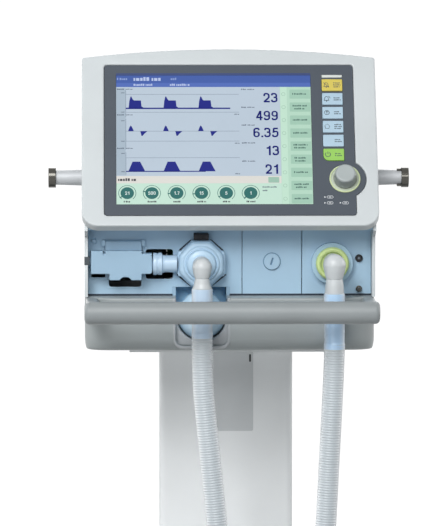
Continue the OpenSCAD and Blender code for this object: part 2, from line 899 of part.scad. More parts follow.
rear_inset = 3;
rear_top = roof_rear_z - roof_r - gap;
rear_y0 = rear_y - rear_inset - panel_wall;
rear_y1 = rear_y - rear_inset;
inlet_in = 64.5;
inlet_up = 34;
inlet_x = inlet_in - half_w;
inlet_z = tray_top + inlet_up;
inlet_w = 28;
inlet_h = 24;
switch_step = 50;
switch_x = inlet_x + switch_step;
switch_w = 14;
switch_h = 20;
switch_y = rear_y0 + panel_wall / 2;
switch_pin_r = 1.2;
switch_pin_x = switch_w / 2 + 2.5;
oxygen_in = 62.5;
oxygen_up = 36;
oxygen_x = half_w - oxygen_in;
oxygen_z = tray_top + oxygen_up;
oxygen_r = 8;
filter_x = 40;
filter_up = 118;
filter_z = tray_top + filter_up;
filter_w = 120;
filter_h = 90;
filter_hole_r = 26;
filter_t = 8;
inlet_deep = 18;
inlet_flange = 2;
oxygen_l = 28;
oxygen_root = 20;

module rear_panel() {
    color(shell_grey) difference() {
        block([-inner_w / 2 + gap, rear_y0, tray_top + gap], [inner_w / 2 - gap, rear_y1, rear_top]);
        translate([inlet_x, 0, inlet_z])
            along_y(rear_y0 - over, rear_y1 + over) square([inlet_w, inlet_h], center = true);
        translate([switch_x, 0, inlet_z]) {
            along_y(rear_y0 - over, rear_y1 + over) square([switch_w + 2 * gap, switch_h + 4], center = true);
            translate([0, switch_y, 0]) rod_x(switch_pin_r + run, -switch_pin_x - gap, switch_pin_x + gap);
        }
        translate([oxygen_x, 0, oxygen_z]) rod_y(oxygen_r + run, rear_y0 - over, rear_y1 + over);
        translate([filter_x, 0, filter_z]) rod_y(filter_hole_r, rear_y0 - over, rear_y1 + over);
    }
}

module mains_inlet() {
    color("black") translate([inlet_x, 0, inlet_z]) difference() {
        union() {
            along_y(rear_y0 - inlet_deep, rear_y1) square([inlet_w, inlet_h], center = true);
            along_y(rear_y1, rear_y1 + inlet_flange) square([inlet_w + 10, inlet_h + 6], center = true);
        }
        along_y(rear_y0 - inlet_deep + wall, rear_y1 + inlet_flange + over)
            square([inlet_w - 5, inlet_h - 6], center = true);
    }
}

rocker_tilt = 10;
rocker_rise = 6;

// Rocker of the mains switch: it tips about a pin across its middle
module power_switch() {
    color("darkgreen") translate([switch_x, switch_y, inlet_z]) rotate([rocker_tilt, 0, 0]) {
        block([-switch_w / 2, -2, -switch_h / 2], [switch_w / 2, rocker_rise, switch_h / 2]);
        rod_x(switch_pin_r, -switch_pin_x, switch_pin_x);
    }
}

// Oxygen inlet: a threaded spigot for the supply hose
module oxygen_inlet() {
    color("silver") translate([oxygen_x, 0, oxygen_z]) difference() {
        union() {
            rod_y(oxygen_r, rear_y0 - oxygen_root, rear_y1 + oxygen_l);
            rod_y(oxygen_r + 5, rear_y1, rear_y1 + 6);
        }
        rod_y(3, rear_y0, rear_y1 + oxygen_l + over);
    }
}

// Louvred cover over the intake filter
module filter_cover() {
    louvres = 7;
    louvre_h = 5;
    pitch = filter_h / (louvres + 1);
    color("gray") translate([filter_x, rear_y1, filter_z]) difference() {
        block([-filter_w / 2, 0, -filter_h / 2], [filter_w / 2, filter_t, filter_h / 2]);
        block([wall - filter_w / 2, -over, wall - filter_h / 2],
            [filter_w / 2 - wall, filter_t - 3, filter_h / 2 - wall]);
        for (i = [1:louvres]) translate([0, 0, i * pitch - filter_h / 2])
            block([2 * wall - filter_w / 2, 0, -louvre_h / 2],
                [filter_w / 2 - 2 * wall, filter_t + over, louvre_h / 2]);
    }
}

// Trolley

base_z = wheel_d + 8;
deck_z = base_z + beam_h;
beam_x = base_w / 2 - beam_w / 2;
top_plate = 8;
col_y1 = col_y + col_d;
tube_inset = 12;

module column_frame() {
    x = col_w / 2 - tube_inset;
    y0 = col_y + tube_inset;
    y1 = col_y1 - sheet;
    color(frame_grey) {
        difference() {
            block([-x, y0, deck_z], [x, y1, unit_z - top_plate]);
            block([sheet - x, y0 + sheet, deck_z - over], [x - sheet, y1 - sheet, unit_z - top_plate + over]);
        }
        block([-col_w / 2 - 40, bay_y + 40, unit_z - top_plate], [col_w / 2 + 40, col_y1, unit_z]);
    }
}

module column_cover() {
    z0 = deck_z;
    z1 = unit_z - top_plate;
    color(shell_grey) difference() {
        block([-col_w / 2, col_y, z0], [col_w / 2, col_y1, z1]);
        block([-col_w / 2 + sheet, col_y + sheet, z0 - over], [col_w / 2 - sheet, col_y1 + over, z1 + over]);
    }
}

cross_front = 45;
cross_rear = 25;
cross_y = [col_y - cross_front, col_y1 + cross_rear];
casting = 5;
beam_r = 24;

module base_crossmember() {
    x = base_w / 2 - beam_w;
    color(tray_grey) difference() {
        block([-x, cross_y[0], base_z], [x, cross_y[1], deck_z]);
        block([casting - x, cross_y[0] + casting, base_z - over],
            [x - casting, cross_y[1] - casting, deck_z - casting]);
    }
}

stem_r = 6;
stem_l = 26;
front_inset = 60;
rear_inset_y = 6;
front_swivel = base_d / 2 - front_inset;
rear_swivel = base_d / 2 - trail - wheel_d / 2 - rear_inset_y;
corners = [[-1, -front_swivel], [1, -front_swivel], [-1, rear_swivel], [1, rear_swivel]];

module caster_place(i) {
    translate([corners[i][0] * beam_x, corners[i][1], 0]) children();
}

module beam_shape(inset) {
    rounded_rect(beam_w - 2 * inset, base_d - 2 * inset, beam_r - inset);
}

// Side beams: castings open below, with a socket for each caster's stem
module base_beams() {
    color(tray_grey) difference() {
        union() {
            for (sx = [-1, 1]) translate([sx * beam_x, 0, base_z]) difference() {
                linear_extrude(beam_h) beam_shape(0);
                translate([0, 0, -over]) linear_extrude(beam_h - casting + over) beam_shape(casting);
            }
            for (i = [0:3]) caster_place(i) rod_z(stem_r + 10, base_z, deck_z - over);
        }
        for (i = [0:3]) caster_place(i) rod_z(stem_r + run, base_z - over, base_z + stem_l + gap);
    }
}

// Casters: a fork with a hood between and over two wheels on one axle

axle_z = wheel_d / 2;
axle_r = 4;
web_t = 10;
hood_gap = 2;
hood_t = 2.5;
hood_w = web_t + 2 * over + 2 * wheel_w + 2;
pedal_y = -22;
pedal_z = axle_z + 42;
pedal_pin_r = 2.5;
lug_w = 8;
lug_r = 5;
swivel_r = 24;

module caster_fork(i, braked) {
    hood_r = wheel_d / 2 + hood_gap + hood_t;
    color("gray") caster_place(i) difference() {
        union() {
            rod_z(stem_r, base_z - gap - over, base_z + stem_l);
            rod_z(swivel_r, wheel_d + hood_gap, base_z - gap);
            intersection() {
                translate([0, trail, axle_z]) difference() {
                    rod_x(hood_r, -hood_w / 2, hood_w / 2);
                    rod_x(hood_r - hood_t, -hood_w / 2 - over, hood_w / 2 + over);
                }
                block([-hood_w, trail - wheel_d, axle_z + 12], [hood_w, trail + wheel_d, wheel_d * 2]);
            }
            intersection() {
                translate([0, trail, axle_z]) rod_x(hood_r, -web_t / 2, web_t / 2);
                block([-web_t, trail - wheel_d, axle_z - 10], [web_t, trail + wheel_d, wheel_d * 2]);
            }
            if (braked) difference() {
                block([-lug_w / 2, pedal_y - lug_r, pedal_z - lug_r], [lug_w / 2, 0, pedal_z + lug_r]);
                translate([0, pedal_y, pedal_z]) rod_x(pedal_pin_r + run, -lug_w, lug_w);
            }
        }
        translate([0, trail, axle_z]) rod_x(axle_r + run, -web_t, web_t);
    }
}

module caster_wheels(i) {
    r = wheel_d / 2;
    x0 = web_t / 2 + over;
    color("dimgray") caster_place(i) translate([0, trail, axle_z]) {
        rod_x(axle_r, -x0 - over, x0 + over);
        for (sx = [-1, 1]) mirror([sx < 0 ? 1 : 0, 0, 0]) rotate([0, 90, 0]) rotate_extrude()
            polygon([[0, x0], [r - 3, x0], [r, x0 + 3], [r, x0 + wheel_w - 5], [r - 5, x0 + wheel_w],
                [r - 14, x0 + wheel_w], [r - 17, x0 + wheel_w - 4], [9, x0 + wheel_w - 4], [8, x0 + wheel_w],
                [0, x0 + wheel_w]]);
    }
}

// Brake pedal: two ears on a pin through the fork's lug, and a tread plate in front
module brake_pedal(i) {
    ear = 3;
    tread_w = 32;
    tread_l = 36;
    x0 = lug_w / 2 + gap;
    color("firebrick") caster_place(i) translate([0, pedal_y, pedal_z]) {
        rod_x(pedal_pin_r, -x0 - ear, x0 + ear);
        for (x = [-x0 - ear, x0]) translate([x, 0, 0]) {
            rod_x(lug_r, 0, ear);
            block([0, -12, -ear], [ear, 0, ear]);
        }
        block([-tread_w / 2, -tread_l, -ear], [tread_w / 2, -lug_r - ear, ear]);
    }
}

// Hoses: each runs along its own points, hangs to the floor and lies forwards to the Y-piece

leg = 16;
y_x = 46;
floor_gap = 1;
lay_z = hose_d / 2 + floor_gap;
y_end = -454;
exp_points = [[valve_x, hose_y, exp_hose_z], [valve_x, hose_y, 920], [valve_x, hose_y, 870],
    [-34, -208, 820], [-26, -208, 740], [-18, -208, 660], [-10, -208, 540], [-4, -208, 420], [0, -208, 310],
    [4, -214, 210], [10, -236, 120], [18, -280, 54], [26, -340, 22], [y_x - leg, -400, lay_z],
    [y_x - leg, -426, lay_z], [y_x - leg, y_end, lay_z]];
insp_points = [[port_x, hose_y, insp_hose_z], [port_x, hose_y, 920], [port_x, hose_y, 870],
    [127, -208, 820], [123, -208, 740], [119, -208, 660], [112, -208, 540], [105, -208, 420], [98, -208, 310],
    [92, -214, 210], [85, -236, 120], [76, -280, 54], [67, -340, 22], [y_x + leg, -400, lay_z],
    [y_x + leg, -426, lay_z], [y_x + leg, y_end, lay_z]];
per_span = 8;
sides = 8;
bore_rings = 44;

function curve(a, b, c, d, t) =
    0.5 * (2 * b + (c - a) * t + (2 * a - 5 * b + 4 * c - d) * t * t + (3 * b - a - 3 * c + d) * t * t * t);

function route(p) = concat(
    [for (i = [0:len(p) - 2]) for (k = [0:per_span - 1])
        curve(p[max(i - 1, 0)], p[i], p[i + 1], p[min(i + 2, len(p) - 1)], k / per_span)],
    [p[len(p) - 1]]);

function run_lengths(p, i = 0, total = 0, done = []) = i == len(p) ? done :
    let (now = i == 0 ? 0 : total + norm(p[i] - p[i - 1])) run_lengths(p, i + 1, now, concat(done, [now]));

function along(p, s, at) = [for (k = [0:2]) lookup(at, [for (i = [0:len(p) - 1]) [s[i], p[i][k]]])];

function unit(v) = v / norm(v);

// Ring of a hose: its place along the route and its radius
function ring(p, s, at, r) =
    let (total = s[len(s) - 1],
        t = at < hose_d ? [0, 0, -1] : at > total - hose_d ? [0, -1, 0]
            : unit(along(p, s, at + 2) - along(p, s, at - 2)),
        u = unit(cross(t, [1, 0, 0])),
        w = cross(t, u),
        c = along(p, s, at))
    [for (k = [0:sides - 1]) c + r * (cos((k + 0.5) * 360 / sides) * u + sin((k + 0.5) * 360 / sides) * w)];

function wall_faces(rings, first, flip) =
    [for (i = [0:rings - 2]) for (k = [0:sides - 1])
        let (a = first + i * sides + k, b = first + i * sides + (k + 1) % sides)
            each flip ? [[a, b, b + sides], [a, b + sides, a + sides]]
                : [[a, b + sides, b], [a, a + sides, b + sides]]];

function end_faces(outer, inner, flip) =
    [for (k = [0:sides - 1])
        let (a = outer + k, b = outer + (k + 1) % sides, c = inner + k, d = inner + (k + 1) % sides)
            each flip ? [[a, b, d], [a, d, c]] : [[a, d, b], [a, c, d]]];

module ribbed_hose(points) {
    p = route(points);
    s = run_lengths(p);
    total = s[len(s) - 1];
    pitch = (total - 2 * cuff_l) / ribs;
    cuff_r = hose_d / 2 - 0.6;
    outer = concat([[0, cuff_r], [cuff_l - 1, cuff_r]],
        [for (i = [0:ribs - 1]) each [[cuff_l + (i + 0.25) * pitch, hose_d / 2 - rib_d],
            [cuff_l + (i + 0.75) * pitch, hose_d / 2]]],
        [[total - cuff_l + 1, cuff_r], [total, cuff_r]]);
    echo("hose length", total);
    outer_rings = [for (q = outer) each ring(p, s, q[0], q[1])];
    inner_rings = [for (i = [0:bore_rings - 1]) each ring(p, s, total * i / (bore_rings - 1), hose_bore / 2)];
    first_inner = len(outer_rings);
    polyhedron(concat(outer_rings, inner_rings),
        concat(wall_faces(len(outer), 0, false), wall_faces(bore_rings, first_inner, true),
            end_faces(0, first_inner, true),
            end_faces(first_inner - sides, first_inner + (bore_rings - 1) * sides, false)));
}

module expiratory_hose() {
    color("whitesmoke") ribbed_hose(exp_points);
}

module inspiratory_hose() {
    color("whitesmoke") ribbed_hose(insp_points);
}

// Y-piece: two sockets for the hoses and one patient port
module y_piece() {
    socket_l = 22;
    body_l = 26;
    port_l = 30;
    port_r1 = 11;
    y1 = y_end - socket_l;
    y2 = y1 - body_l;
    y_mid = (y1 + y2) / 2;
    y3 = y2 - port_l;
    color("aliceblue") translate([y_x, 0, lay_z]) difference() {
        union() {
            for (x = [-leg, leg]) translate([x, 0, 0]) rod_y(hose_d / 2 - 0.6, y1 - 8, y_end);
            block([-leg - 9, y2, -port_r1], [leg + 9, y1, port_r1]);
            rod_y(port_r1, y3, y2 + over);
        }
        for (x = [-leg, leg]) translate([x, 0, 0]) rod_y(hose_bore / 2, y_mid - over, y_end + over);
        translate([0, y_mid, 0]) rod_x(hose_bore / 2, -leg, leg);
        rod_y(patient_bore / 2, y3 - over, y_mid);
    }
}

rear_housing();
front_bezel();
control_panel();
touchscreen();
alarm_lamp();
panel_key(0);  // key_audio_pause
panel_key(1);  // key_alarm_reset
panel_key(2);  // key_oxygen_boost
panel_key(3);  // key_nebuliser
panel_key(4);  // key_inspiration_hold
panel_key(5);  // key_standby
knob_ring();
knob_spindle();
rotary_knob();
valve_panel();
cell_cover();
port_panel();
cover_lock();
sensor_flap();
flow_sensor();
expiratory_valve();
valve_catch();
expiratory_elbow();
water_trap();
port_ring();
inspiratory_elbow();
front_sockets();
panel_screws();
base_tray();
front_bar();
side_studs();
stud_caps();
main_board();
blower_housing();
blower_impeller();
gas_block();
power_supply();
battery_pack();
rear_panel();
mains_inlet();
power_switch();
oxygen_inlet();
filter_cover();
column_frame();
column_cover();
base_crossmember();
base_beams();
caster_fork(0, true);  // caster_fork_front_left
caster_fork(1, true);  // caster_fork_front_right
caster_fork(2, false);  // caster_fork_rear_left
caster_fork(3, false);  // caster_fork_rear_right
caster_wheels(0);  // caster_wheels_front_left
caster_wheels(1);  // caster_wheels_front_right
caster_wheels(2);  // caster_wheels_rear_left
caster_wheels(3);  // caster_wheels_rear_right
brake_pedal(0);  // brake_pedal_left
brake_pedal(1);  // brake_pedal_right
expiratory_hose();
inspiratory_hose();
y_piece();
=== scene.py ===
import bmesh
import bpy
import math
from mathutils import Matrix, Vector, geometry


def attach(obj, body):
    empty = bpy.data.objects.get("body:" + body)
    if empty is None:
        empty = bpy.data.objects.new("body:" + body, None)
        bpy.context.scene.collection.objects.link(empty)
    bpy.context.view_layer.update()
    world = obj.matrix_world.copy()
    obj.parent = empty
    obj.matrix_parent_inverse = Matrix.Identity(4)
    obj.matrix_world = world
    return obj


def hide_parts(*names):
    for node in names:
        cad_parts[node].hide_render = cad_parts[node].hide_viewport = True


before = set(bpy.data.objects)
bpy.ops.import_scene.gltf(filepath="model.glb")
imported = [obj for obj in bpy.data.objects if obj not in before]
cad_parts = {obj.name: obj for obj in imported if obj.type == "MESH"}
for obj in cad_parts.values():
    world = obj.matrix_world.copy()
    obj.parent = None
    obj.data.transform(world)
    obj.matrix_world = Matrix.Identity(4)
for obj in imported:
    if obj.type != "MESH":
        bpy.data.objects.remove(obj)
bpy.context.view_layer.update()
scene = bpy.context.scene
scene.view_settings.view_transform = "Standard"
mm = 0.001  # shapes are drawn in millimetres and shrunk when they become pieces
print("frame loaded:", len(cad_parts), "nodes")


def linked(name, data):
    obj = bpy.data.objects.new(name, data)
    scene.collection.objects.link(obj)
    return obj


def lookAt(obj, spot, target):
    obj.location = spot
    obj.rotation_euler = (Vector(target) - Vector(spot)).to_track_quat("-Z", "Y").to_euler()


# camera first
photoCamera = {"from": (-0.157, -6.0246, 1.3916), "to": (-0.01525, -0.139, 0.98), "lens": 320.48, "sensor": 36,
               "reach": 400}


def setCamera(view):
    data = bpy.data.cameras.new("photoCamera")
    data.lens = view["lens"]
    data.sensor_width = view["sensor"]
    data.clip_end = view["reach"]
    scene.camera = linked("photoCamera", data)
    lookAt(scene.camera, view["from"], view["to"])


setCamera(photoCamera)
print("camera set")


# one node of any tree: a source that is a socket gets linked, anything else is the input's value
def step(tree, kind, links=(), **settings):
    node = tree.nodes.new(kind)
    for label, value in settings.items():
        setattr(node, label, value)
    for socket, source in links:
        if hasattr(source, "is_output"):
            tree.links.new(source, node.inputs[socket])
        else:
            node.inputs[socket].default_value = source
    return node


def maths(tree, operation, *values):
    return step(tree, "ShaderNodeMath", enumerate(values), operation=operation).outputs[0]


def spread(tree, value, low, high, toLow=0.0, toHigh=1.0):
    ends = [("From Min", low), ("From Max", high), ("To Min", toLow), ("To Max", toHigh)]
    return step(tree, "ShaderNodeMapRange", [("Value", value)] + ends).outputs["Result"]


def mixed(tree, mask, a, b):
    return step(tree, "ShaderNodeMix", [(0, mask), (6, a), (7, b)], data_type="RGBA").outputs[2]


# finishes
def tone(red, green, blue):
    steps = [c / 255 for c in (red, green, blue)]
    return [c / 12.92 if c <= 0.04045 else ((c + 0.055) / 1.055) ** 2.4 for c in steps] + [1.0]


def scaled(colour, factor):
    return [min(1.0, c * factor) for c in colour[:3]] + [1.0]


surface = {"mottleDetail": 4, "mottle": (0.3, 0.7), "grainDetail": 1, "relief": 0.0004, "roughSpread": 0.04,
           "patchDetail": 5, "patches": (0.52, 0.72), "patchShade": 0.82, "patchRough": 0.2,
           "dustDetail": 4, "flecks": (0.35, 0.75), "upward": (0.6, 1.0), "dustTone": tone(196, 194, 188)}


def newGroup(name, inputs, outputs):
    group = bpy.data.node_groups.new(name, "ShaderNodeTree")
    for label, value in inputs.items():
        socket = group.interface.new_socket(label, in_out="INPUT", socket_type="NodeSocketFloat")
        socket.default_value = value
    for label in outputs:
        group.interface.new_socket(label, in_out="OUTPUT", socket_type="NodeSocketFloat")
    return group, step(group, "NodeGroupInput").outputs, step(group, "NodeGroupOutput").inputs


def noise(group, detail, scale):
    spot = step(group, "ShaderNodeTexCoord").outputs["Object"]
    return step(group, "ShaderNodeTexNoise", [("Vector", spot), ("Detail", detail), ("Scale", scale)]).outputs["Fac"]


# fine mould texture and a broad, faint change of shade
def makeMouldedSkin():
    group, given, result = newGroup("mouldedSkin", {"Grain": 1500, "Mottle": 16}, ("Mask", "Height"))
    broad = noise(group, surface["mottleDetail"], given["Mottle"])
    group.links.new(spread(group, broad, *surface["mottle"]), result["Mask"])
    group.links.new(noise(group, surface["grainDetail"], given["Grain"]), result["Height"])
    return group


# patches left by hands and wiping cloths
def makeHandMarks():
    group, given, result = newGroup("handMarks", {"Scale": 30, "Amount": 0.5}, ("Mask",))
    patches = spread(group, noise(group, surface["patchDetail"], given["Scale"]), *surface["patches"])
    group.links.new(maths(group, "MULTIPLY", patches, given["Amount"]), result["Mask"])
    return group


# dust that lies on faces turned upwards
def makeSettledDust():
    group, given, result = newGroup("settledDust", {"Scale": 90, "Amount": 0.3}, ("Mask",))
    facing = step(group, "ShaderNodeNewGeometry").outputs["Normal"]
    parts = step(group, "ShaderNodeSeparateXYZ", [(0, facing)]).outputs
    upward = spread(group, parts["Z"], *surface["upward"])
    flecks = spread(group, noise(group, surface["dustDetail"], given["Scale"]), *surface["flecks"])
    fallen = maths(group, "MULTIPLY", upward, flecks)
    group.links.new(maths(group, "MULTIPLY", fallen, given["Amount"]), result["Mask"])
    return group


mouldedSkin = makeMouldedSkin()
handMarks = makeHandMarks()
settledDust = makeSettledDust()
shaderSockets = {"metal": "Metallic", "coat": "Coat Weight", "shine": "Specular IOR Level",
                 "glow": "Emission Strength"}


def placed(tree, group, **values):
    return step(tree, "ShaderNodeGroup", values.items(), node_tree=group).outputs


def finish(name, colour, rough=0.45, grain=1500, bump=0.12, mottle=16, shade=0.04, marks=0.0, dust=0.0, **fixed):
    material = bpy.data.materials.new(name)
    material.use_nodes = True
    tree = material.node_tree
    shader = tree.nodes["Principled BSDF"]
    skin = placed(tree, mouldedSkin, Grain=grain, Mottle=mottle)
    look = mixed(tree, skin["Mask"], scaled(colour, 1 - shade), scaled(colour, 1 + shade))
    sheen = spread(tree, skin["Mask"], 0, 1, rough - surface["roughSpread"], rough + surface["roughSpread"])
    if marks:
        touched = placed(tree, handMarks, Amount=marks)["Mask"]
        look = mixed(tree, touched, look, scaled(colour, surface["patchShade"]))
        sheen = spread(tree, touched, 0, 1, rough, rough + surface["patchRough"])
    if dust:
        look = mixed(tree, placed(tree, settledDust, Amount=dust)["Mask"], look, surface["dustTone"])
    relief = step(tree, "ShaderNodeBump", [("Strength", bump), ("Distance", surface["relief"]),
                                           ("Height", skin["Height"])])
    tree.links.new(look, shader.inputs["Base Color"])
    tree.links.new(sheen, shader.inputs["Roughness"])
    tree.links.new(relief.outputs["Normal"], shader.inputs["Normal"])
    for word, value in fixed.items():
        shader.inputs[shaderSockets[word]].default_value = value
    if "glow" in fixed:
        shader.inputs["Emission Color"].default_value = colour
    return material


facingPaintLook = {"blend": 0.5, "facing": (0.12, 0.62), "share": 0.75}


# clear parts take their core colour where they face the view and their side colour where they turn away: on hoses and
# cuffs painted shade in the middle and a painted sheen at the sides, on the bowl painted light in the middle and
# painted shade at the sides
def paintFacingLightAndShade(material, core, side):
    tree = material.node_tree
    base = tree.nodes["Principled BSDF"].inputs["Base Color"]
    weight = step(tree, "ShaderNodeLayerWeight", [("Blend", facingPaintLook["blend"])])
    depth = spread(tree, weight.outputs["Facing"], *facingPaintLook["facing"])
    skin = base.links[0].from_socket
    tree.links.new(mixed(tree, facingPaintLook["share"], skin, mixed(tree, depth, core, side)), base)
    return material


paleShell = finish("paleShell", tone(200, 206, 208), 0.42, shade=0.02, marks=0.03)
slateFilm = finish("slateFilm", tone(74, 81, 90), 0.5, grain=2600, marks=0.1, shine=0.25)
bayBlue = finish("bayBlue", tone(168, 198, 219), 0.42, marks=0.06)
valveBlue = finish("valveBlue", tone(178, 206, 227), 0.34, bump=0.06)
# the bay's blue made darker: painted shade on the flap, which stands forward in more light, and on the niche's cheeks
flapShadedBlue = finish("flapShadedBlue", tone(154, 184, 206), 0.4, marks=0.06)
# the bay's blue made lighter: painted light in the shaded niche
nicheLitBlue = finish("nicheLitBlue", tone(160, 212, 248), 0.45, marks=0.05)
# the bay's blue made darker: painted shade in the lock's slot and the groove round it
slotShadedBlue = finish("slotShadedBlue", tone(104, 138, 164), 0.45)
limePlastic = finish("limePlastic", tone(206, 226, 152), 0.36)
haloLime = finish("haloLime", tone(205, 218, 172), 0.36)
seatPale = finish("seatPale", tone(180, 190, 172), 0.4)
whitePlastic = finish("whitePlastic", tone(204, 209, 211), 0.36, bump=0.05)
# two copies of one grey: a darker one for the grip's sides as painted shade, a lighter one for the cap's face as
# painted light
knobShadedGrey = finish("knobShadedGrey", tone(146, 153, 153), 0.38, marks=0.15)
knobLitCapGrey = finish("knobLitCapGrey", tone(164, 172, 172), 0.4)
matBlack = finish("matBlack", tone(22, 25, 30), 0.5, marks=0.1)
catchBlack = finish("catchBlack", tone(11, 13, 22), 0.45, shine=0.3)
# near-black blue for painted shade: the valve's gap shadows, the shadow line at the panels' foot and the dark bay
# ceiling
shadeDark = finish("shadeDark", tone(26, 38, 54), 0.6)
trayGrey = finish("trayGrey", tone(154, 161, 162), 0.4, marks=0.08, dust=0.1)
barGrey = finish("barGrey", tone(144, 150, 152), 0.42, marks=0.12)
brightMetal = finish("brightMetal", tone(200, 203, 206), 0.25, grain=3000, bump=0.05, metal=1.0)
studMetal = finish("studMetal", tone(188, 191, 194), 0.55, grain=3000, bump=0.05, metal=0.2)
capMetal = finish("capMetal", tone(84, 83, 79), 0.16, grain=3000, bump=0.05, metal=1.0)
labelGrey = finish("labelGrey", tone(208, 212, 214), 0.42, marks=0.04)
columnGrey = finish("columnGrey", tone(244, 247, 248), 0.48, shade=0.015, marks=0.02)
plateGrey = finish("plateGrey", tone(172, 176, 179), 0.42, marks=0.1)
baseGrey = finish("baseGrey", tone(150, 156, 159), 0.5, shade=0.02, marks=0.05, dust=0.08)
casterGrey = finish("casterGrey", tone(104, 109, 113), 0.5, marks=0.15, dust=0.3)
hubGrey = finish("hubGrey", tone(168, 172, 174), 0.46, marks=0.2)
tyreGrey = finish("tyreGrey", tone(62, 64, 67), 0.72, grain=900, bump=0.25, marks=0.35)
pedalRed = finish("pedalRed", tone(176, 44, 38), 0.5, marks=0.25, dust=0.3)
rockerGreen = finish("rockerGreen", tone(58, 124, 70), 0.4)
boardGreen = finish("boardGreen", tone(40, 110, 72), 0.5, grain=800)
castGrey = finish("castGrey", tone(112, 120, 128), 0.55, grain=900, bump=0.25)
packDark = finish("packDark", tone(58, 66, 72), 0.55, grain=900)
foamGrey = finish("foamGrey", tone(70, 74, 78), 0.9, grain=420, bump=0.8)
inkDark = finish("inkDark", tone(52, 62, 72), 0.5)
inkWhite = finish("inkWhite", tone(228, 232, 235), 0.5)
lampWhite = finish("lampWhite", tone(206, 211, 206), 0.34, glow=0.06)
screenDark = finish("screenDark", tone(40, 48, 58), 0.2, coat=0.4)
browBlue = finish("browBlue", tone(58, 72, 116), 0.4, shine=0.2)
sensorClear = finish("sensorClear", tone(186, 210, 230), 0.24, bump=0.03, coat=0.3)
# hoses and cuffs: the darker middle is painted shade, the lighter sides a painted sheen
hoseClear = paintFacingLightAndShade(finish("hoseClear", tone(214, 220, 223), 0.34, bump=0.04),
                    tone(176, 185, 191), tone(232, 236, 239))
cuffWhite = paintFacingLightAndShade(finish("cuffWhite", tone(208, 224, 240), 0.34, bump=0.04),
                    tone(192, 216, 238), tone(234, 241, 248))
cuffBlue = paintFacingLightAndShade(finish("cuffBlue", tone(200, 222, 246), 0.28, bump=0.03),
                   tone(184, 220, 252), tone(230, 240, 250))
# the bowl: the lighter middle is painted light, the darker sides painted shade
bowlBlue = paintFacingLightAndShade(finish("bowlBlue", tone(204, 232, 250), 0.2, bump=0.03),
                   tone(222, 242, 253), tone(186, 222, 246))
keyTones = {"yellow": finish("keyYellow", tone(208, 190, 82), 0.42),
            "blue": finish("keyBlue", tone(170, 196, 213), 0.42),
            "green": finish("keyGreen", tone(140, 192, 82), 0.42)}
print("finishes made")

# places: shapes are drawn flat in x and y, and a place stands them up where they belong
panelTilt = {"foot": (0, -200, 1031), "angle": 59}
identity = Matrix.Identity(4)
panelPlace = Matrix.Translation(panelTilt["foot"]) @ Matrix.Rotation(math.radians(panelTilt["angle"]), 4, "X")


def frontPlace(y, x=0, z=0):
    return Matrix.Translation((x, y, z)) @ Matrix.Rotation(math.radians(90), 4, "X")


def rearPlace(y, x=0, z=0):
    return Matrix.Translation((x, y, z)) @ Matrix.Rotation(math.pi, 4, "Z") @ frontPlace(0)


def sidePlace(side, x=0):
    return Matrix(((0, 0, side, side * x), (side, 0, 0, 0), (0, 1, 0, 0), (0, 0, 0, 1)))


acrossPlace = sidePlace(1)


def aim(spot, axis):
    return Matrix.Translation(spot) @ Vector(axis).to_track_quat("Z", "Y").to_matrix().to_4x4()


# outlines; a point's third number is the radius of its corner
def soften(points, closed=True, steps=5):
    loop = []
    count = len(points)
    for i, point in enumerate(points):
        radius = point[2] if len(point) > 2 else 0
        if not radius or (not closed and i in (0, count - 1)):
            loop.append((point[0], point[1]))
            continue
        here = Vector(point[:2])
        back = Vector(points[i - 1][:2]) - here
        ahead = Vector(points[(i + 1) % count][:2]) - here
        half = back.angle(ahead) / 2
        cut = min(radius / math.tan(half), back.length * 0.499, ahead.length * 0.499)
        radius = cut * math.tan(half)
        a, b = back.normalized(), ahead.normalized()
        centre = here + (a + b).normalized() * (radius / math.sin(half))
        first, last = here + a * cut - centre, here + b * cut - centre
        start = math.atan2(first.y, first.x)
        sweep = (math.atan2(last.y, last.x) - start + math.pi) % (2 * math.pi) - math.pi
        pieces = max(2, math.ceil(abs(sweep) / (math.pi / 2) * steps - 0.01))
        for k in range(pieces + 1):
            angle = start + sweep * k / pieces
            loop.append((centre.x + radius * math.cos(angle), centre.y + radius * math.sin(angle)))
    return loop


def arcLoop(x, y, radius, count=48, start=0, sweep=360):
    ends = 0 if abs(sweep) == 360 else 1
    angles = [math.radians(start + sweep * i / count) for i in range(count + ends)]
    return [(x + radius * math.cos(a), y + radius * math.sin(a)) for a in angles]


# a spot on a circle, its angle counted from the top
def clockSpot(x, y, radius, angle):
    return x + radius * math.sin(math.radians(angle)), y + radius * math.cos(math.radians(angle))


def box2d(x0, y0, x1, y1, radius=0):
    return soften([(x0, y0, radius), (x1, y0, radius), (x1, y1, radius), (x0, y1, radius)])


def grownBox(corners, grow):
    return [corners[0] - grow, corners[1] - grow, corners[2] + grow, corners[3] + grow]


def mirrored(points):
    return points + [(-x, -y, r) for x, y, r in points]


# a line of a given width
def strokeLoop(points, width):
    spots = [Vector(p) for p in points]
    left, right = [], []
    for i, here in enumerate(spots):
        before, after = spots[max(i - 1, 0)], spots[min(i + 1, len(spots) - 1)]
        along = (after - before).normalized()
        across = Vector((-along.y, along.x)) * width / 2
        left.append(tuple(here + across))
        right.append(tuple(here - across))
    return right + list(reversed(left))


# a line of greeked text: a row of small blocks
greekLook = {"wide": (0.5, 0.66, 0.4, 0.76, 0.56), "tall": (1.0, 0.74, 0.78, 0.96, 0.74), "gap": 0.2, "wordGap": 0.55,
             "word": 6, "least": 0.3}


def greek(x, y, wide, high, seed=0):
    blocks, at, k = [], x, seed
    while at < x + wide - high * greekLook["least"]:
        broad = high * greekLook["wide"][k % 5]
        tall = high * greekLook["tall"][k * 3 % 5]
        blocks.append(box2d(at, y, min(at + broad, x + wide), y + tall))
        at += broad + high * (greekLook["gap"] if k % greekLook["word"] else greekLook["wordGap"])
        k += 1
    return blocks


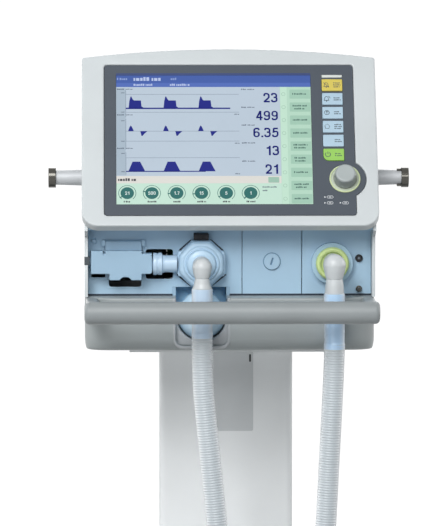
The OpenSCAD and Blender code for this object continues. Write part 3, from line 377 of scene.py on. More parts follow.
def turnedWay(loop, anticlockwise):
    area = sum(a[0] * b[1] - b[0] * a[1] for a, b in zip(loop, loop[1:] + loop[:1]))
    return list(loop) if (area > 0) == anticlockwise else list(reversed(loop))


def inset(loop, distance):
    if not distance:
        return loop
    moved = []
    for i, point in enumerate(loop):
        before, here, after = Vector(loop[i - 1]), Vector(point), Vector(loop[(i + 1) % len(loop)])
        e1, e2 = (here - before).normalized(), (after - here).normalized()
        n1, n2 = Vector((-e1.y, e1.x)), Vector((-e2.y, e2.x))
        shift = (n1 + n2) / max(0.35, 1 + n1.dot(n2)) * distance
        moved.append((here.x + shift.x, here.y + shift.y))
    return moved


# shapes
def wall(bm, a, b):
    for i in range(len(a)):
        j = (i + 1) % len(a)
        bm.faces.new((a[i], a[j], b[j], b[i]))


# a flat plate between two levels, with its front edges rounded
def plate(bm, outer, low, high, edge=0.5, holes=(), place=panelPlace, back=0.0, steps=3):
    loops = [turnedWay(outer, True)] + [turnedWay(hole, False) for hole in holes]
    quarter = [math.pi / 2 * i / steps for i in range(steps + 1)]
    levels = [(0, low)]
    if back:
        levels = [(back * (1 - math.cos(a)), low + back * (1 - math.sin(a))) for a in reversed(quarter)]
    if edge:
        levels += [(edge * (1 - math.cos(a)), high - edge + edge * math.sin(a)) for a in quarter]
    else:
        levels.append((0, high))
    flats = [[inset(loop, distance) for loop in loops] for distance, height in levels]
    rows = [[[bm.verts.new(place @ Vector((x, y, height))) for x, y in loop] for loop in flat]
            for flat, (distance, height) in zip(flats, levels)]
    for lower, upper in zip(rows, rows[1:]):
        for a, b in zip(lower, upper):
            wall(bm, a, b)
    for row, flat in ((rows[0], flats[0]), (rows[-1], flats[-1])):
        corners = [vert for loop in row for vert in loop]
        for triangle in geometry.tessellate_polygon([[Vector((x, y, 0)) for x, y in loop] for loop in flat]):
            if len(set(triangle)) == 3:
                try:
                    bm.faces.new([corners[i] for i in triangle])
                except ValueError:  # the face is there already
                    pass


# a profile of radius and height, its corners softened, turned about its axis
def turned(bm, profile, place, steps=48, closed=False, soft=5):
    rings = []
    for radius, height in soften(profile, closed, soft):
        spots = arcLoop(0, 0, radius, steps) if radius > 1e-6 else [(0, 0)]
        rings.append([bm.verts.new(place @ Vector((x, y, height))) for x, y in spots])
    for a, b in zip(rings, rings[1:] + (rings[:1] if closed else [])):
        if len(a) == len(b):
            wall(bm, a, b)
            continue
        tip, rim = (a[0], b) if len(a) == 1 else (b[0], a)
        for i in range(steps):
            bm.faces.new((tip, rim[i], rim[(i + 1) % steps]))


# a round tube whose radius changes along its path
def swept(bm, path, radii, sides=32):
    points = [Vector(p) for p in path]
    side, rings = None, []
    for i, point in enumerate(points):
        along = (points[min(i + 1, len(points) - 1)] - points[max(i - 1, 0)]).normalized()
        if side is None:
            side = along.orthogonal().normalized()
        side = (side - along * side.dot(along)).normalized()
        other = along.cross(side)
        rings.append([bm.verts.new(point + side * x + other * y) for x, y in arcLoop(0, 0, radii[i], sides)])
    for a, b in zip(rings, rings[1:]):
        wall(bm, a, b)
    bm.faces.new(rings[0])
    bm.faces.new(rings[-1])


def bevelled(bm, edges, offset, segments, clamp):
    bmesh.ops.bevel(bm, geom=edges, offset=offset, segments=segments, profile=0.5, affect="EDGES",
                    clamp_overlap=clamp)


def added(bm, other):
    mesh = bpy.data.meshes.new("part")
    other.to_mesh(mesh)
    other.free()
    bm.from_mesh(mesh)
    bpy.data.meshes.remove(mesh)


def softBox(bm, lo, hi, edge=1.0, steps=2):
    block = bmesh.new()
    bmesh.ops.create_cube(block, size=1)
    lo, hi = Vector(lo), Vector(hi)
    for vert in block.verts:
        vert.co = [lo[k] + (hi[k] - lo[k]) * (vert.co[k] + 0.5) for k in range(3)]
    if edge:
        bevelled(block, block.edges[:], edge, steps, False)
    added(bm, block)


# a copy of a CAD node with its sharp edges rounded; wide picks the edges that get a larger radius
def softCopy(bm, node, edge, wide=None, wideEdge=5.0, wideSteps=5, sharpAngle=38):
    copy = bmesh.new()
    copy.from_mesh(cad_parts[node].data)
    bmesh.ops.scale(copy, vec=(1 / mm, 1 / mm, 1 / mm), verts=copy.verts)
    bmesh.ops.remove_doubles(copy, verts=copy.verts, dist=0.002)
    bmesh.ops.dissolve_limit(copy, angle_limit=0.01, verts=copy.verts, edges=copy.edges)

    def sharp():
        return [e for e in copy.edges if e.is_manifold and e.calc_face_angle(0) > math.radians(sharpAngle)]

    if wide:
        bevelled(copy, [e for e in sharp() if wide(e.verts[0].co, e.verts[1].co)], wideEdge, wideSteps, True)
    bevelled(copy, sharp(), edge, 2, True)
    added(bm, copy)


def made(draw, *sizes, **more):
    bm = bmesh.new()
    draw(bm, *sizes, **more)
    return bm


def meshOf(bm, name="shape"):
    bmesh.ops.recalc_face_normals(bm, faces=bm.faces)
    mesh = bpy.data.meshes.new(name)
    bm.to_mesh(mesh)
    bm.free()
    return mesh


# the mesh that a holder's modifiers give, without the holder
def applied(holder):
    mesh = bpy.data.meshes.new_from_object(holder.evaluated_get(bpy.context.evaluated_depsgraph_get()))
    bpy.data.objects.remove(holder)
    return mesh


# closed shapes joined or cut by others
def carved(bm, cutters, way="DIFFERENCE"):
    holders = [linked("carve", meshOf(shape, "carve")) for shape in [bm] + cutters]
    for cutter in holders[1:]:
        tool = holders[0].modifiers.new("carve", "BOOLEAN")
        tool.operation = way
        tool.solver = "EXACT"
        tool.object = cutter
    mesh = applied(holders[0])
    for cutter in holders[1:]:
        bpy.data.objects.remove(cutter)
    result = bmesh.new()
    result.from_mesh(mesh)
    bpy.data.meshes.remove(mesh)
    return result


def evenShade(mesh, angle):
    mesh.shade_smooth()
    mesh.set_sharp_from_angle(angle=math.radians(angle))
    holder = linked("holder", mesh)
    holder.modifiers.new("weighted", "WEIGHTED_NORMAL").keep_sharp = True
    return applied(holder)


def settle(name, mesh, material, slot, body="ventilator", stands=(), angle=38):
    mesh.transform(Matrix.Scale(mm, 4))
    mesh = evenShade(mesh, angle)
    mesh.name = name
    mesh.materials.clear()
    mesh.materials.append(material)
    obj = linked(name, mesh)
    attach(obj, body)
    if stands:
        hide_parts(*stands)
    return obj


def piece(name, bm, material, slot, body="ventilator", stands=(), angle=38):
    return settle(name, meshOf(bm, name), material, slot, body, stands, angle)


def copied(name, node, material, slot, edge, body="ventilator", angle=38, **wide):
    return piece(name, made(softCopy, node, edge, **wide), material, slot, body, (node,), angle)


# node trees for what repeats or follows a path
def newTree(name, inputs):
    tree = bpy.data.node_groups.new(name, "GeometryNodeTree")
    tree.interface.new_socket("Geometry", in_out="INPUT", socket_type="NodeSocketGeometry")
    for label, kind in inputs.items():
        tree.interface.new_socket(label, in_out="INPUT", socket_type="NodeSocket" + kind)
    tree.interface.new_socket("Geometry", in_out="OUTPUT", socket_type="NodeSocketGeometry")
    return tree, step(tree, "NodeGroupInput").outputs, step(tree, "NodeGroupOutput").inputs


def ending(tree, shape, material, out):
    real = step(tree, "GeometryNodeRealizeInstances", [("Geometry", shape)])
    dressed = step(tree, "GeometryNodeSetMaterial", [("Geometry", real.outputs[0]), ("Material", material)])
    tree.links.new(dressed.outputs[0], out["Geometry"])


def makeRowOf():
    tree, given, out = newTree("rowOf", {"Count": "Int", "Start": "Vector", "Step": "Vector", "Material": "Material"})
    line = step(tree, "GeometryNodeMeshLine", [("Count", given["Count"]), ("Start Location", given["Start"]),
                                               ("Offset", given["Step"])])
    copies = step(tree, "GeometryNodeInstanceOnPoints", [("Points", line.outputs[0]),
                                                         ("Instance", given["Geometry"])])
    ending(tree, copies.outputs[0], given["Material"], out)
    return tree


def makeRibbedHose():
    tree, given, out = newTree("ribbedHose", {
        "Radius": "Float", "Rib Depth": "Float", "Pitch": "Float", "Steps per Rib": "Float", "Sides": "Int",
        "Cuff Length": "Float", "Cuff Radius": "Float", "Material": "Material"})
    line = step(tree, "GeometryNodeMeshToCurve", [("Mesh", given["Geometry"])])
    gap = maths(tree, "DIVIDE", given["Pitch"], given["Steps per Rib"])
    fine = step(tree, "GeometryNodeResampleCurve", [("Curve", line.outputs[0]), ("Length", gap)], mode="LENGTH")
    along = step(tree, "GeometryNodeSplineParameter").outputs["Length"]
    whole = step(tree, "GeometryNodeSplineLength").outputs["Length"]
    angle = maths(tree, "MULTIPLY", maths(tree, "DIVIDE", along, given["Pitch"]), 2 * math.pi)
    dip = maths(tree, "MULTIPLY_ADD", maths(tree, "COSINE", angle), 0.5, 0.5)
    ribs = maths(tree, "SUBTRACT", given["Radius"], maths(tree, "MULTIPLY", dip, given["Rib Depth"]))
    nearest = maths(tree, "MINIMUM", along, maths(tree, "SUBTRACT", whole, along))
    inCuff = maths(tree, "LESS_THAN", nearest, given["Cuff Length"])
    size = step(tree, "ShaderNodeMix", [(0, inCuff), (2, ribs), (3, given["Cuff Radius"])])
    ring = step(tree, "GeometryNodeCurvePrimitiveCircle", [("Resolution", given["Sides"]), ("Radius", 1.0)])
    tube = step(tree, "GeometryNodeCurveToMesh", [("Curve", fine.outputs[0]), ("Profile Curve", ring.outputs[0]),
                                                  ("Scale", size.outputs[0]), ("Fill Caps", True)])
    ending(tree, tube.outputs[0], given["Material"], out)
    return tree


rowOf = makeRowOf()
ribbedHose = makeRibbedHose()


def grown(mesh, tree, values):
    holder = linked("grown", mesh)
    modifier = holder.modifiers.new("grown", "NODES")
    modifier.node_group = tree
    for item in tree.interface.items_tree:
        if item.item_type == "SOCKET" and item.in_out == "INPUT" and item.name in values:
            modifier[item.identifier] = values[item.name]
    return applied(holder)


def row(name, shape, count, start, pitch, material, slot, place=identity, body="ventilator"):
    mesh = grown(meshOf(shape), rowOf, {"Count": count, "Start": start, "Step": pitch, "Material": material})
    mesh.transform(place)
    return settle(name, mesh, material, slot, body)


# hoses: the same points as the source's routes
hose = {"diameter": 26.7, "ribDepth": 0.75, "pitch": 3.3, "perRib": 6.0, "sides": 28, "cuffLength": 62,
        "cuffRadius": 12.4, "perSpan": 8, "meshPerSpan": 40}
hoseRoutes = {
    "expiratory": [
        (-36, -208, 953), (-36, -208, 920), (-36, -208, 870), (-34, -208, 820), (-26, -208, 740), (-18, -208, 660),
        (-10, -208, 540), (-4, -208, 420), (0, -208, 310), (4, -214, 210), (10, -236, 120), (18, -280, 54),
        (26, -340, 22), (30, -400, 14.35), (30, -426, 14.35), (30, -454, 14.35)],
    "inspiratory": [
        (129, -208, 947), (129, -208, 920), (129, -208, 870), (127, -208, 820), (123, -208, 740), (119, -208, 660),
        (112, -208, 540), (105, -208, 420), (98, -208, 310), (92, -214, 210), (85, -236, 120), (76, -280, 54),
        (67, -340, 22), (62, -400, 14.35), (62, -426, 14.35), (62, -454, 14.35)]}


def route(points, perSpan):
    spots = [Vector(p) for p in points]
    path = []
    for i in range(len(spots) - 1):
        a, b = spots[max(i - 1, 0)], spots[i]
        c, d = spots[i + 1], spots[min(i + 2, len(spots) - 1)]
        for k in range(perSpan):
            t = k / perSpan
            bend, twist = 2 * a - 5 * b + 4 * c - d, 3 * b - a - 3 * c + d
            path.append(0.5 * (2 * b + (c - a) * t + bend * t ** 2 + twist * t ** 3))
    return path + [spots[-1]]


def makeHose(side, size, points):
    path, fine = route(points, size["perSpan"]), route(points, size["meshPerSpan"])
    line = bpy.data.meshes.new(side + "Tube")
    line.from_pydata(fine, [(i, i + 1) for i in range(len(fine) - 1)], [])
    mesh = grown(line, ribbedHose, {
        "Radius": size["diameter"] / 2, "Rib Depth": size["ribDepth"], "Pitch": size["pitch"],
        "Steps per Rib": size["perRib"], "Sides": size["sides"], "Cuff Length": size["cuffLength"],
        "Cuff Radius": size["cuffRadius"], "Material": hoseClear})
    tube = settle(side + "Tube", mesh, hoseClear, "hose", stands=(side + "_hose",), angle=70)
    return tube, path, sum((b - a).length for a, b in zip(path, path[1:]))


tubes = {side: makeHose(side, hose, points) for side, points in hoseRoutes.items()}

# smooth cuffs over the hoses' upper ends
cuff = {"bore": 12.45, "collar": 13.1, "sleeve": 12.8, "bead": 13.3,
        "bottom": {"expiratory": 891, "inspiratory": 877},
        "finish": {"expiratory": cuffWhite, "inspiratory": cuffBlue}}


def makeCuff(size, spot, low):
    x, y, high = spot
    profile = [(size["bore"], high - 1), (size["collar"], high - 1, 0.5), (size["collar"], high - 14, 0.6),
               (size["sleeve"], high - 16, 0.6), (size["sleeve"], low + 8, 0.8), (size["bead"], low + 6, 0.6),
               (size["bead"], low, 0.6), (size["bore"], low)]
    return made(turned, profile, aim((x, y, 0), (0, 0, 1)), closed=True)


for side, points in hoseRoutes.items():
    sleeve = makeCuff(cuff, points[0], cuff["bottom"][side])
    piece(side + "Cuff", sleeve, cuff["finish"][side], "hose")

# Y-piece where the two hoses meet; each row of a leg is its share of the spread, its y and its radius
yPiece = {"x": 46, "z": 14.35, "spread": 16, "stemStart": -492,
          "leg": [(1, -452, 12.6), (1, -456, 12.9), (1, -458, 12.9), (1, -470, 12.9), (1, -476, 11.8),
                  (0.86, -484, 11.3), (0.5, -494, 11), (0.2, -502, 10.8), (0, -510, 10.4)],
          "stem": [(0, 0), (10.8, 0, 1), (10.8, 12, 1), (11.2, 14, 0.5), (11.2, 17, 0.5), (10.9, 18.5, 0.5),
                   (10.6, 40, 0.8), (7.5, 40, 0.4), (7.5, 22), (0, 22)]}


def makeYPiece(size):
    legs = []
    for side in (-1, 1):
        path = [(size["spread"] * side * share, y, 0) for share, y, radius in size["leg"]]
        leg = made(swept, path, [radius for share, y, radius in size["leg"]])
        bmesh.ops.translate(leg, vec=(size["x"], 0, size["z"]), verts=leg.verts)
        legs.append(leg)
    stem = made(turned, size["stem"], aim((size["x"], size["stemStart"], size["z"]), (0, -1, 0)))
    return carved(legs[0], [legs[1], stem], "UNION")


yBody = piece("yBody", makeYPiece(yPiece), sensorClear, "clear", stands=("y_piece",))
print("hoses laid:", [round(length, 1) for tube, path, length in tubes.values()], "mm")

# bezel and control panel
bezel = {"half": 186, "side": 241, "crown": 12.5, "thick": 14, "lowerCorner": 20, "upperCorner": 3.5, "edge": 2.2,
         "backEdge": 1.0}
film = {"half": 157.5, "low": 15, "high": 230, "corner": 4, "face": -0.8, "back": -3.8, "gap": 0.3}
knob = {"x": 144, "v": 66, "lobe": 26.6, "base": 0.5, "capLevel": 14.95,
        "seat": [(0, 0), (17.7, 0, 0.2), (17.7, 0.9, 0.4), (15.6, 1.1, 0.3), (14.5, 0.9, 0.2), (14.4, 0.1), (0, 0.1)],
        "halo": [(17.6, 0), (19.5, 0, 0.3), (19.5, 1.2, 0.7), (18.6, 2.2, 0.7), (17.6, 1.6, 0.4)],
        "grip": [(0, 0), (14, 0, 0.5), (14, 2, 0.6), (13.4, 3.4, 1.0), (13.1, 11, 1), (12.8, 14.0, 0.9),
                 (11.7, 15, 0.7), (0, 15)],
        "cap": [(0, 0), (11.5, 0), (11.5, 0.3, 0.15), (10.4, 0.55, 0.5), (3, 0.35, 1), (0, 0.3)]}
glass = {"x": -142.5, "v": 30.75, "wide": 246, "high": 184.5, "face": -1.2, "back": -8.7}
lamp = {"wide": 25.7, "high": 3.7, "v": 213.4, "face": -0.1, "flutes": 17, "flutePitch": 1.4}
keys = {"x": 130.8, "top": 200.3, "pitch": 20, "wide": 26, "high": 16.8, "face": 0.6, "back": -5.1, "edge": 0.6,
        "corner": 1, "lastCorner": 7, "signX": -7.4, "textX": 1.6, "line": 2.8, "ink": 0.08,
        "rows": [("audio_pause", "yellow"), ("alarm_reset", "blue"), ("oxygen_boost", "blue"), ("nebuliser", "blue"),
                 ("inspiration_hold", "blue"), ("standby", "green")]}
lastKey = len(keys["rows"]) - 1


def bezelLoop(size):
    half, side, crown = size["half"], size["side"], size["crown"]
    radius = (half ** 2 + crown ** 2) / (2 * crown)
    reach = math.degrees(math.asin(half / radius))
    arch = arcLoop(0, side + crown - radius, radius, 32, 90 - reach, 2 * reach)
    return soften([(-half, 0, size["lowerCorner"]), (half, 0, size["lowerCorner"]), (half, side, size["upperCorner"])]
                  + arch[1:-1] + [(-half, side, size["upperCorner"])])


def filmLoop(grow):
    half, low, high, corner = film["half"] + grow, film["low"] - grow, film["high"] + grow, film["corner"]
    radius = knob["lobe"] + grow
    reach = math.degrees(math.acos((half - knob["x"]) / radius))
    lobe = arcLoop(knob["x"], knob["v"], radius, 30, -reach, 2 * reach)
    return soften([(-half, low, corner), (half, low, corner)] + lobe + [(half, high, corner), (-half, high, corner)])


def keyLoop(i, grow=0.0):
    x, v, corner = keys["x"], keys["top"] - keys["pitch"] * i, keys["corner"]
    half, rise = keys["wide"] / 2 + grow, keys["high"] / 2 + grow
    first = keys["lastCorner"] + grow if i == lastKey else corner
    return soften([(x - half, v - rise, first), (x + half, v - rise, corner), (x + half, v + rise, corner),
                   (x - half, v + rise, corner)])


def inked(bm, loop, face, thick, holes=(), place=panelPlace, root=0.05):
    plate(bm, loop, face - root, face + thick, 0, holes, place)


lampBox = [keys["x"] - lamp["wide"] / 2, lamp["v"] - lamp["high"] / 2, keys["x"] + lamp["wide"] / 2,
           lamp["v"] + lamp["high"] / 2]
glassBox = [glass["x"], glass["v"], glass["x"] + glass["wide"], glass["v"] + glass["high"]]
shell = made(plate, bezelLoop(bezel), -bezel["thick"], 0, bezel["edge"], [filmLoop(film["gap"])],
             back=bezel["backEdge"], steps=4)
piece("frontBezel", shell, paleShell, "bezel", stands=("front_bezel",))
openings = [box2d(*grownBox(glassBox, film["gap"])), box2d(*grownBox(lampBox, film["gap"]))]
openings += [keyLoop(i, film["gap"]) for i in range(lastKey + 1)]
skinFilm = made(plate, filmLoop(-0.1), film["back"], film["face"], 0.25, openings, steps=2)
piece("controlFilm", skinFilm, slateFilm, "panel", stands=("control_panel",))
lens = made(plate, box2d(*lampBox, 0.5), film["back"] - 1, lamp["face"], 0.4)
piece("lampLens", lens, lampWhite, "lamp", stands=("alarm_lamp",))
flute = made(plate, box2d(-0.25, -1.5, 0.25, 1.5), 0, 0.15, 0.1, place=identity, steps=2)
firstFlute = keys["x"] - lamp["flutePitch"] * (lamp["flutes"] - 1) / 2
row("lampFlutes", flute, lamp["flutes"], (firstFlute, lamp["v"], lamp["face"] - 0.02), (lamp["flutePitch"], 0, 0),
    lampWhite, "lamp", panelPlace)
print("bezel and panel made")


# the sign on each key, in the order of the keys
def keySign(bm, i, x, v):
    def line(points, width=0.7):
        inked(bm, strokeLoop([(x + a, v + b) for a, b in points], width), keys["face"], keys["ink"])

    def dot(a, b, radius, count):
        inked(bm, arcLoop(x + a, v + b, radius, count), keys["face"], keys["ink"])

    if i in (0, 1):
        line([(-3.2, -2.2), (-2.4, -1.2), (-2.2, 1.2), (-1.2, 2.8), (0, 3.2), (1.2, 2.8), (2.2, 1.2), (2.4, -1.2),
              (3.2, -2.2)])
        line([(-3.4, -2.4), (3.4, -2.4)])
        dot(0, -3.4, 0.8, 12)
        line([(-3.4, 3.4), (3.4, -3.6)] if i == 0 else [(2.6, 3.4), (4.2, 2.0), (4.4, 0.4)])
    elif i == 2:
        inked(bm, arcLoop(x, v, 3.4, 28), keys["face"], keys["ink"], [arcLoop(x, v, 2.7, 28)])
        line([(0, -2), (0, 2)])
        line([(-1.2, 0.8), (0, 2.1), (1.2, 0.8)])
    elif i == 3:
        line([(-3, 1.4), (-2.2, -2.8), (2.2, -2.8), (3, 1.4)])
        for a, b in ((-1.6, 2.2), (0, 3.2), (1.6, 2.2)):
            dot(a, b, 0.55, 10)
    elif i == lastKey:
        line([clockSpot(0, 0, 3.2, a) for a in range(35, 326, 15)], 0.9)
        line([(0, 0.6), (0, 4)], 0.9)


for i, (word, colour) in enumerate(keys["rows"]):
    body = "key_" + word
    x, v = keys["x"], keys["top"] - keys["pitch"] * i
    cap = made(plate, keyLoop(i), keys["back"], keys["face"], keys["edge"])
    piece(word + "Key", cap, keyTones[colour], "key_" + colour, body, (body,))
    marks = made(keySign, i, x + keys["signX"], v)
    rise, lines = (2.0, (8.4, 9.4, 8)) if i in (0, 3) else (0.4, (7.4, 9))
    for k, wide in enumerate(lines):
        for block in greek(x + keys["textX"], v + rise - keys["line"] * k, wide, 1.7, i + k):
            inked(marks, block, keys["face"], keys["ink"])
    piece(word + "Marks", marks, inkDark, "black", body)

# knob, its seat and the ring round it; the grip and its cap take shaded and lit copies of one grey, painted shade and
# painted light
for name, part, level, steps, closed, material, slot, body, stands in (
        ("knobSeat", "seat", film["face"] - 0.05, 64, False, seatPale, "knob", "ventilator", ()),
        ("knobHalo", "halo", film["face"], 72, True, haloLime, "lime", "ventilator", ("knob_ring",)),
        ("knobGrip", "grip", knob["base"], 72, False, knobShadedGrey, "knob", "rotary_knob", ("rotary_knob",)),
        ("knobCap", "cap", knob["base"] + knob["capLevel"], 72, False, knobLitCapGrey, "knob", "rotary_knob", ())):
    place = panelPlace @ Matrix.Translation((knob["x"], knob["v"], level))
    piece(name, made(turned, knob[part], place, steps, closed), material, slot, body, stands)

# marks under the knob: a pointer and a small capsule each
signs = bmesh.new()
for x, v in ((120.8, 40.5), (120.6, 32.2), (140, 32.2)):
    capsule = [x, v - 1.9, x + 8, v + 1.9]
    inked(signs, [(x - 3.2, v - 1.2), (x - 1.2, v), (x - 3.2, v + 1.2)], film["face"], 0.05)
    inked(signs, box2d(*capsule, 1.85), film["face"], 0.05, [box2d(*grownBox(capsule, -0.45), 1.4)])
    inked(signs, box2d(x + 2.4, v - 0.4, x + 5.6, v + 0.4, 0.3), film["face"], 0.05)
piece("panelSigns", signs, inkWhite, "white")
print("keys and knob made")

# what the screen shows, one piece for each colour; places are from the screen's lower left corner
screen = {"menu": 207, "menuEdge": (207.5, 215.7), "stripTop": 40, "dialTop": 29.6, "header": 167.6, "headerFoot": 6,
          "brow": (184.2, 187.4), "gutter": (0.5, 41, 166), "axis": 12, "plotEnd": 155, "firstBeat": 15.6,
          "beat": 44.1, "beats": 3, "layer": 0.05, "root": 0.02, "glow": 0.6, "unlit": 0.58}
menu = {"rows": 9, "pitch": 18.7, "x": 219.2, "top": 150.6, "wide": 26.1, "high": 13.2, "twoLines": (1, 4, 5, 7),
        "textX": 219.8, "textTop": 158, "text": 24, "line": 4.2, "iconX": 211.4, "iconTop": 157.2}
dials = {"x": (13.5, 44.3, 75.4, 106.3, 137.4, 168), "y": 15.8, "radius": 8.4, "arc": 10.8,
         "figures": ("21", "500", "1.7", "15", "5", "1"), "pointers": (-126, -77, -94, -97, -120, -132)}
# one breath of each curve, from its start
breath = [[(0, 137), (0.9, 147), (2.4, 153.6), (3.4, 154), (5.4, 149.6), (6.8, 148.2), (15.6, 148.2), (16.4, 139.5),
           (20, 137)],
          [(-0.7, 104), (0.8, 109), (2.4, 112.2), (3.6, 111), (5.4, 107), (6.4, 104)],
          [(14.6, 104), (16, 97.4), (17.4, 97.2), (20.4, 101), (23.6, 104)],
          [(-0.6, 46.6), (4.6, 60.4), (14.2, 60.4), (20.6, 46.6)]]


def glowing(name, colour):
    return finish(name, scaled(colour, screen["unlit"]), 0.3, grain=3500, bump=0.02, shade=0.015, glow=screen["glow"],
                  shine=0.12)


def onGlass(points):
    return [(x + glass["x"], y + glass["v"]) for x, y in points]


# a loop is a list of points, or an outer list with a tuple of holes
def art(name, colour, layer, loops):
    shapes = bmesh.new()
    for loop in loops:
        outer, holes = loop if isinstance(loop, tuple) else (loop, ())
        inked(shapes, onGlass(outer), glass["face"], screen["layer"] * layer, [onGlass(hole) for hole in holes],
              root=screen["root"])
    return piece(name, shapes, glowing(name + "Ink", colour), "screen")


# figures drawn as bold strokes in a cell 0.6 wide and 1 high
figure = {"stroke": 0.165, "advance": 0.72, "gap": 0.12, "cell": (0.6, 1)}
narrow = {".": 0.3, "1": 0.62}
bowlRing = (soften([(0.0, 0.0, 0.28), (0.6, 0.0, 0.28), (0.6, 0.62, 0.28), (0.0, 0.62, 0.28)]),
            (soften([(0.16, 0.14, 0.13), (0.44, 0.14, 0.13), (0.44, 0.48, 0.13), (0.16, 0.48, 0.13)]),))
outlines = {
    ".": [(box2d(0.02, 0, 0.2, 0.17), ())],
    "0": [(box2d(0, 0, 0.6, 1, 0.27), (box2d(0.17, 0.15, 0.43, 0.85, 0.12),))],
    "1": [([(0.07, 0.81), (0.07, 0.68), (0.27, 0.68), (0.27, 0.0), (0.45, 0.0), (0.45, 1.0), (0.31, 1.0),
            (0.24, 0.86)], ())],
    "6": [bowlRing], "9": [bowlRing]}
hook = [[(0.085, 0.3), (0.085, 0.92, 0.24), (0.5, 0.92, 0.2), (0.5, 0.74)]]
strokes = {
    "2": [[(0.09, 0.66), (0.09, 0.92, 0.2), (0.51, 0.92, 0.2), (0.51, 0.5, 0.2), (0.12, 0.12)],
          [(0.03, 0.08), (0.59, 0.08)]],
    "3": [[(0.08, 0.74), (0.08, 0.92, 0.17), (0.49, 0.92, 0.18), (0.49, 0.53, 0.18), (0.24, 0.53)],
          [(0.24, 0.53), (0.515, 0.53, 0.18), (0.515, 0.08, 0.2), (0.08, 0.08, 0.18), (0.08, 0.28)]],
    "4": [[(0.43, 0.0), (0.43, 1.0)], [(0.02, 0.29), (0.62, 0.29)], [(0.08, 0.27), (0.4, 0.96)]],
    "5": [[(0.54, 0.92), (0.14, 0.92)], [(0.16, 0.94), (0.12, 0.46)],
          [(0.11, 0.5), (0.22, 0.6, 0.1), (0.515, 0.6, 0.2), (0.515, 0.08, 0.22), (0.08, 0.08, 0.18), (0.08, 0.27)]],
    "6": hook, "9": hook,
    "7": [[(0.03, 0.92), (0.57, 0.92)], [(0.5, 0.9), (0.22, 0.0)]]}


def changed(loops, change):
    return [([change(x, y) for x, y in outer], tuple([change(x, y) for x, y in hole] for hole in holes))
            for outer, holes in loops]


def figureLoops(sign):
    loops = list(outlines.get(sign, []))
    loops += [(strokeLoop(soften(p, False), figure["stroke"]), ()) for p in strokes.get(sign, [])]
    if sign == "9":  # a six upside down
        wide, high = figure["cell"]
        loops = changed(loops, lambda x, y: (wide - x, high - y))
    return loops, narrow.get(sign, figure["advance"])


# align 1 ends a text on its x, and 0.5 centres it there
def figureArt(items, height, align):
    drawn = []
    for text, x, y in items:
        at = x - (sum(figureLoops(sign)[1] for sign in text) - figure["gap"]) * height * align
        for sign in text:
            loops, wide = figureLoops(sign)
            drawn += changed(loops, lambda a, b: (at + a * height, y + b * height))
            at += wide * height
    return drawn


pane = made(plate, box2d(*glassBox), glass["back"], glass["face"] - screen["root"], 0.2)
piece("screenPane", pane, screenDark, "screen", stands=("touchscreen",))
wide, top, axis = glass["wide"], screen["header"], screen["axis"]
art("screenHeader", tone(72, 98, 170), 1, [box2d(0, top, wide, glass["high"])])
art("screenHeaderFoot", tone(86, 112, 186), 1.4, [box2d(0, top, wide, top + screen["headerFoot"])])
# a dark blue band on the film at the screen's top edge: painted shadow of the film on the screen
low, high = screen["brow"]
brow = made(inked, onGlass(box2d(0, low, wide, high)), film["face"], 0.06)
piece("screenBrow", brow, browBlue, "screen")
left, low, high = screen["gutter"]
art("screenField", tone(190, 204, 218), 1, [box2d(0, screen["stripTop"], screen["menu"], top)])
art("screenGutter", tone(172, 188, 202), 1.4, [box2d(left, low, axis - 0.4, high)])
left, right = screen["menuEdge"]
art("screenMenu", tone(186, 220, 200), 1, [box2d(screen["menu"], 0, wide, top)])
art("screenMenuEdge", tone(198, 230, 210), 1.4, [box2d(left, 0, right, top)])
art("screenStrip", tone(224, 222, 216), 1, [box2d(0, screen["dialTop"], screen["menu"], screen["stripTop"])])
art("screenDialField", tone(200, 230, 214), 1, [box2d(0, 0, screen["menu"], screen["dialTop"])])
rules = [box2d(axis - 0.3, a, axis + 0.3, b) for a, b in ((124, 163), (78, 122), (42, 74))]
rules += [box2d(axis, y - 0.25, screen["plotEnd"], y + 0.25) for y in (131.2, 104, 89.7, 157, 66)]
art("screenRules", tone(128, 142, 160), 1.8, rules)
waves = [box2d(axis, 135.8, 144, 137.8), box2d(axis, 45.9, 112, 47.3)]
for beat in range(screen["beats"]):
    x = screen["firstBeat"] + screen["beat"] * beat
    waves += [[(x + a, y) for a, y in curve] for curve in breath]
art("screenWaves", tone(34, 42, 132), 2.4, waves)
readings = [("23", 204, 145.3), ("499", 204, 119.5), ("6.35", 204.4, 95.2), ("13", 204.6, 69.4), ("21", 203.6, 42.9)]
art("screenFigures", tone(24, 32, 112), 2, figureArt(readings, 13.6, 1))
labels = []
for y in (163.6, 126.6, 78.6):
    labels += greek(1, y, 9, 1.9, 1) + greek(12, y + 0.2, 9, 1.5, 3)
for y in (158.6, 130.8, 118.4, 89, 71.6, 45.6):
    labels += greek(6, y, 4.6, 1.5, 2)
for k, y in enumerate((163.2, 137.4, 111.8, 86.2, 60.2)):
    labels += greek(158, y, 6, 2.0, k) + greek(165.5, y + 0.1, 9, 1.6, k + 2)
for y in (127.6, 86, 42.4):
    labels += greek(149, y, 6, 1.5, 4)
labels += greek(183, 23.4, 18, 1.9, 1) + greek(183, 18.4, 7, 1.9, 3)
art("screenLabels", tone(96, 106, 122), 1.8, labels)
title = greek(22, 176.6, 36, 5.4, 2) + greek(22, 169.4, 24, 3, 1) + greek(68, 169.4, 25, 3, 4)
art("screenTitle", tone(186, 200, 234), 1.8, title)
art("screenClock", tone(140, 160, 210), 1.8, greek(1, 177.8, 13, 3.2, 0) + greek(69, 177.8, 8, 3.2, 3))
button = made(plate, box2d(0, 0, menu["wide"], menu["high"], 1), -0.02, 0.1, 0, place=identity)
row("screenButtons", button, menu["rows"], (glass["x"] + menu["x"], glass["v"] + menu["top"], glass["face"] + 0.02),
    (0, -menu["pitch"], 0), glowing("screenButtonInk", tone(166, 204, 184)), "screen", panelPlace)
captions, icons = [], []
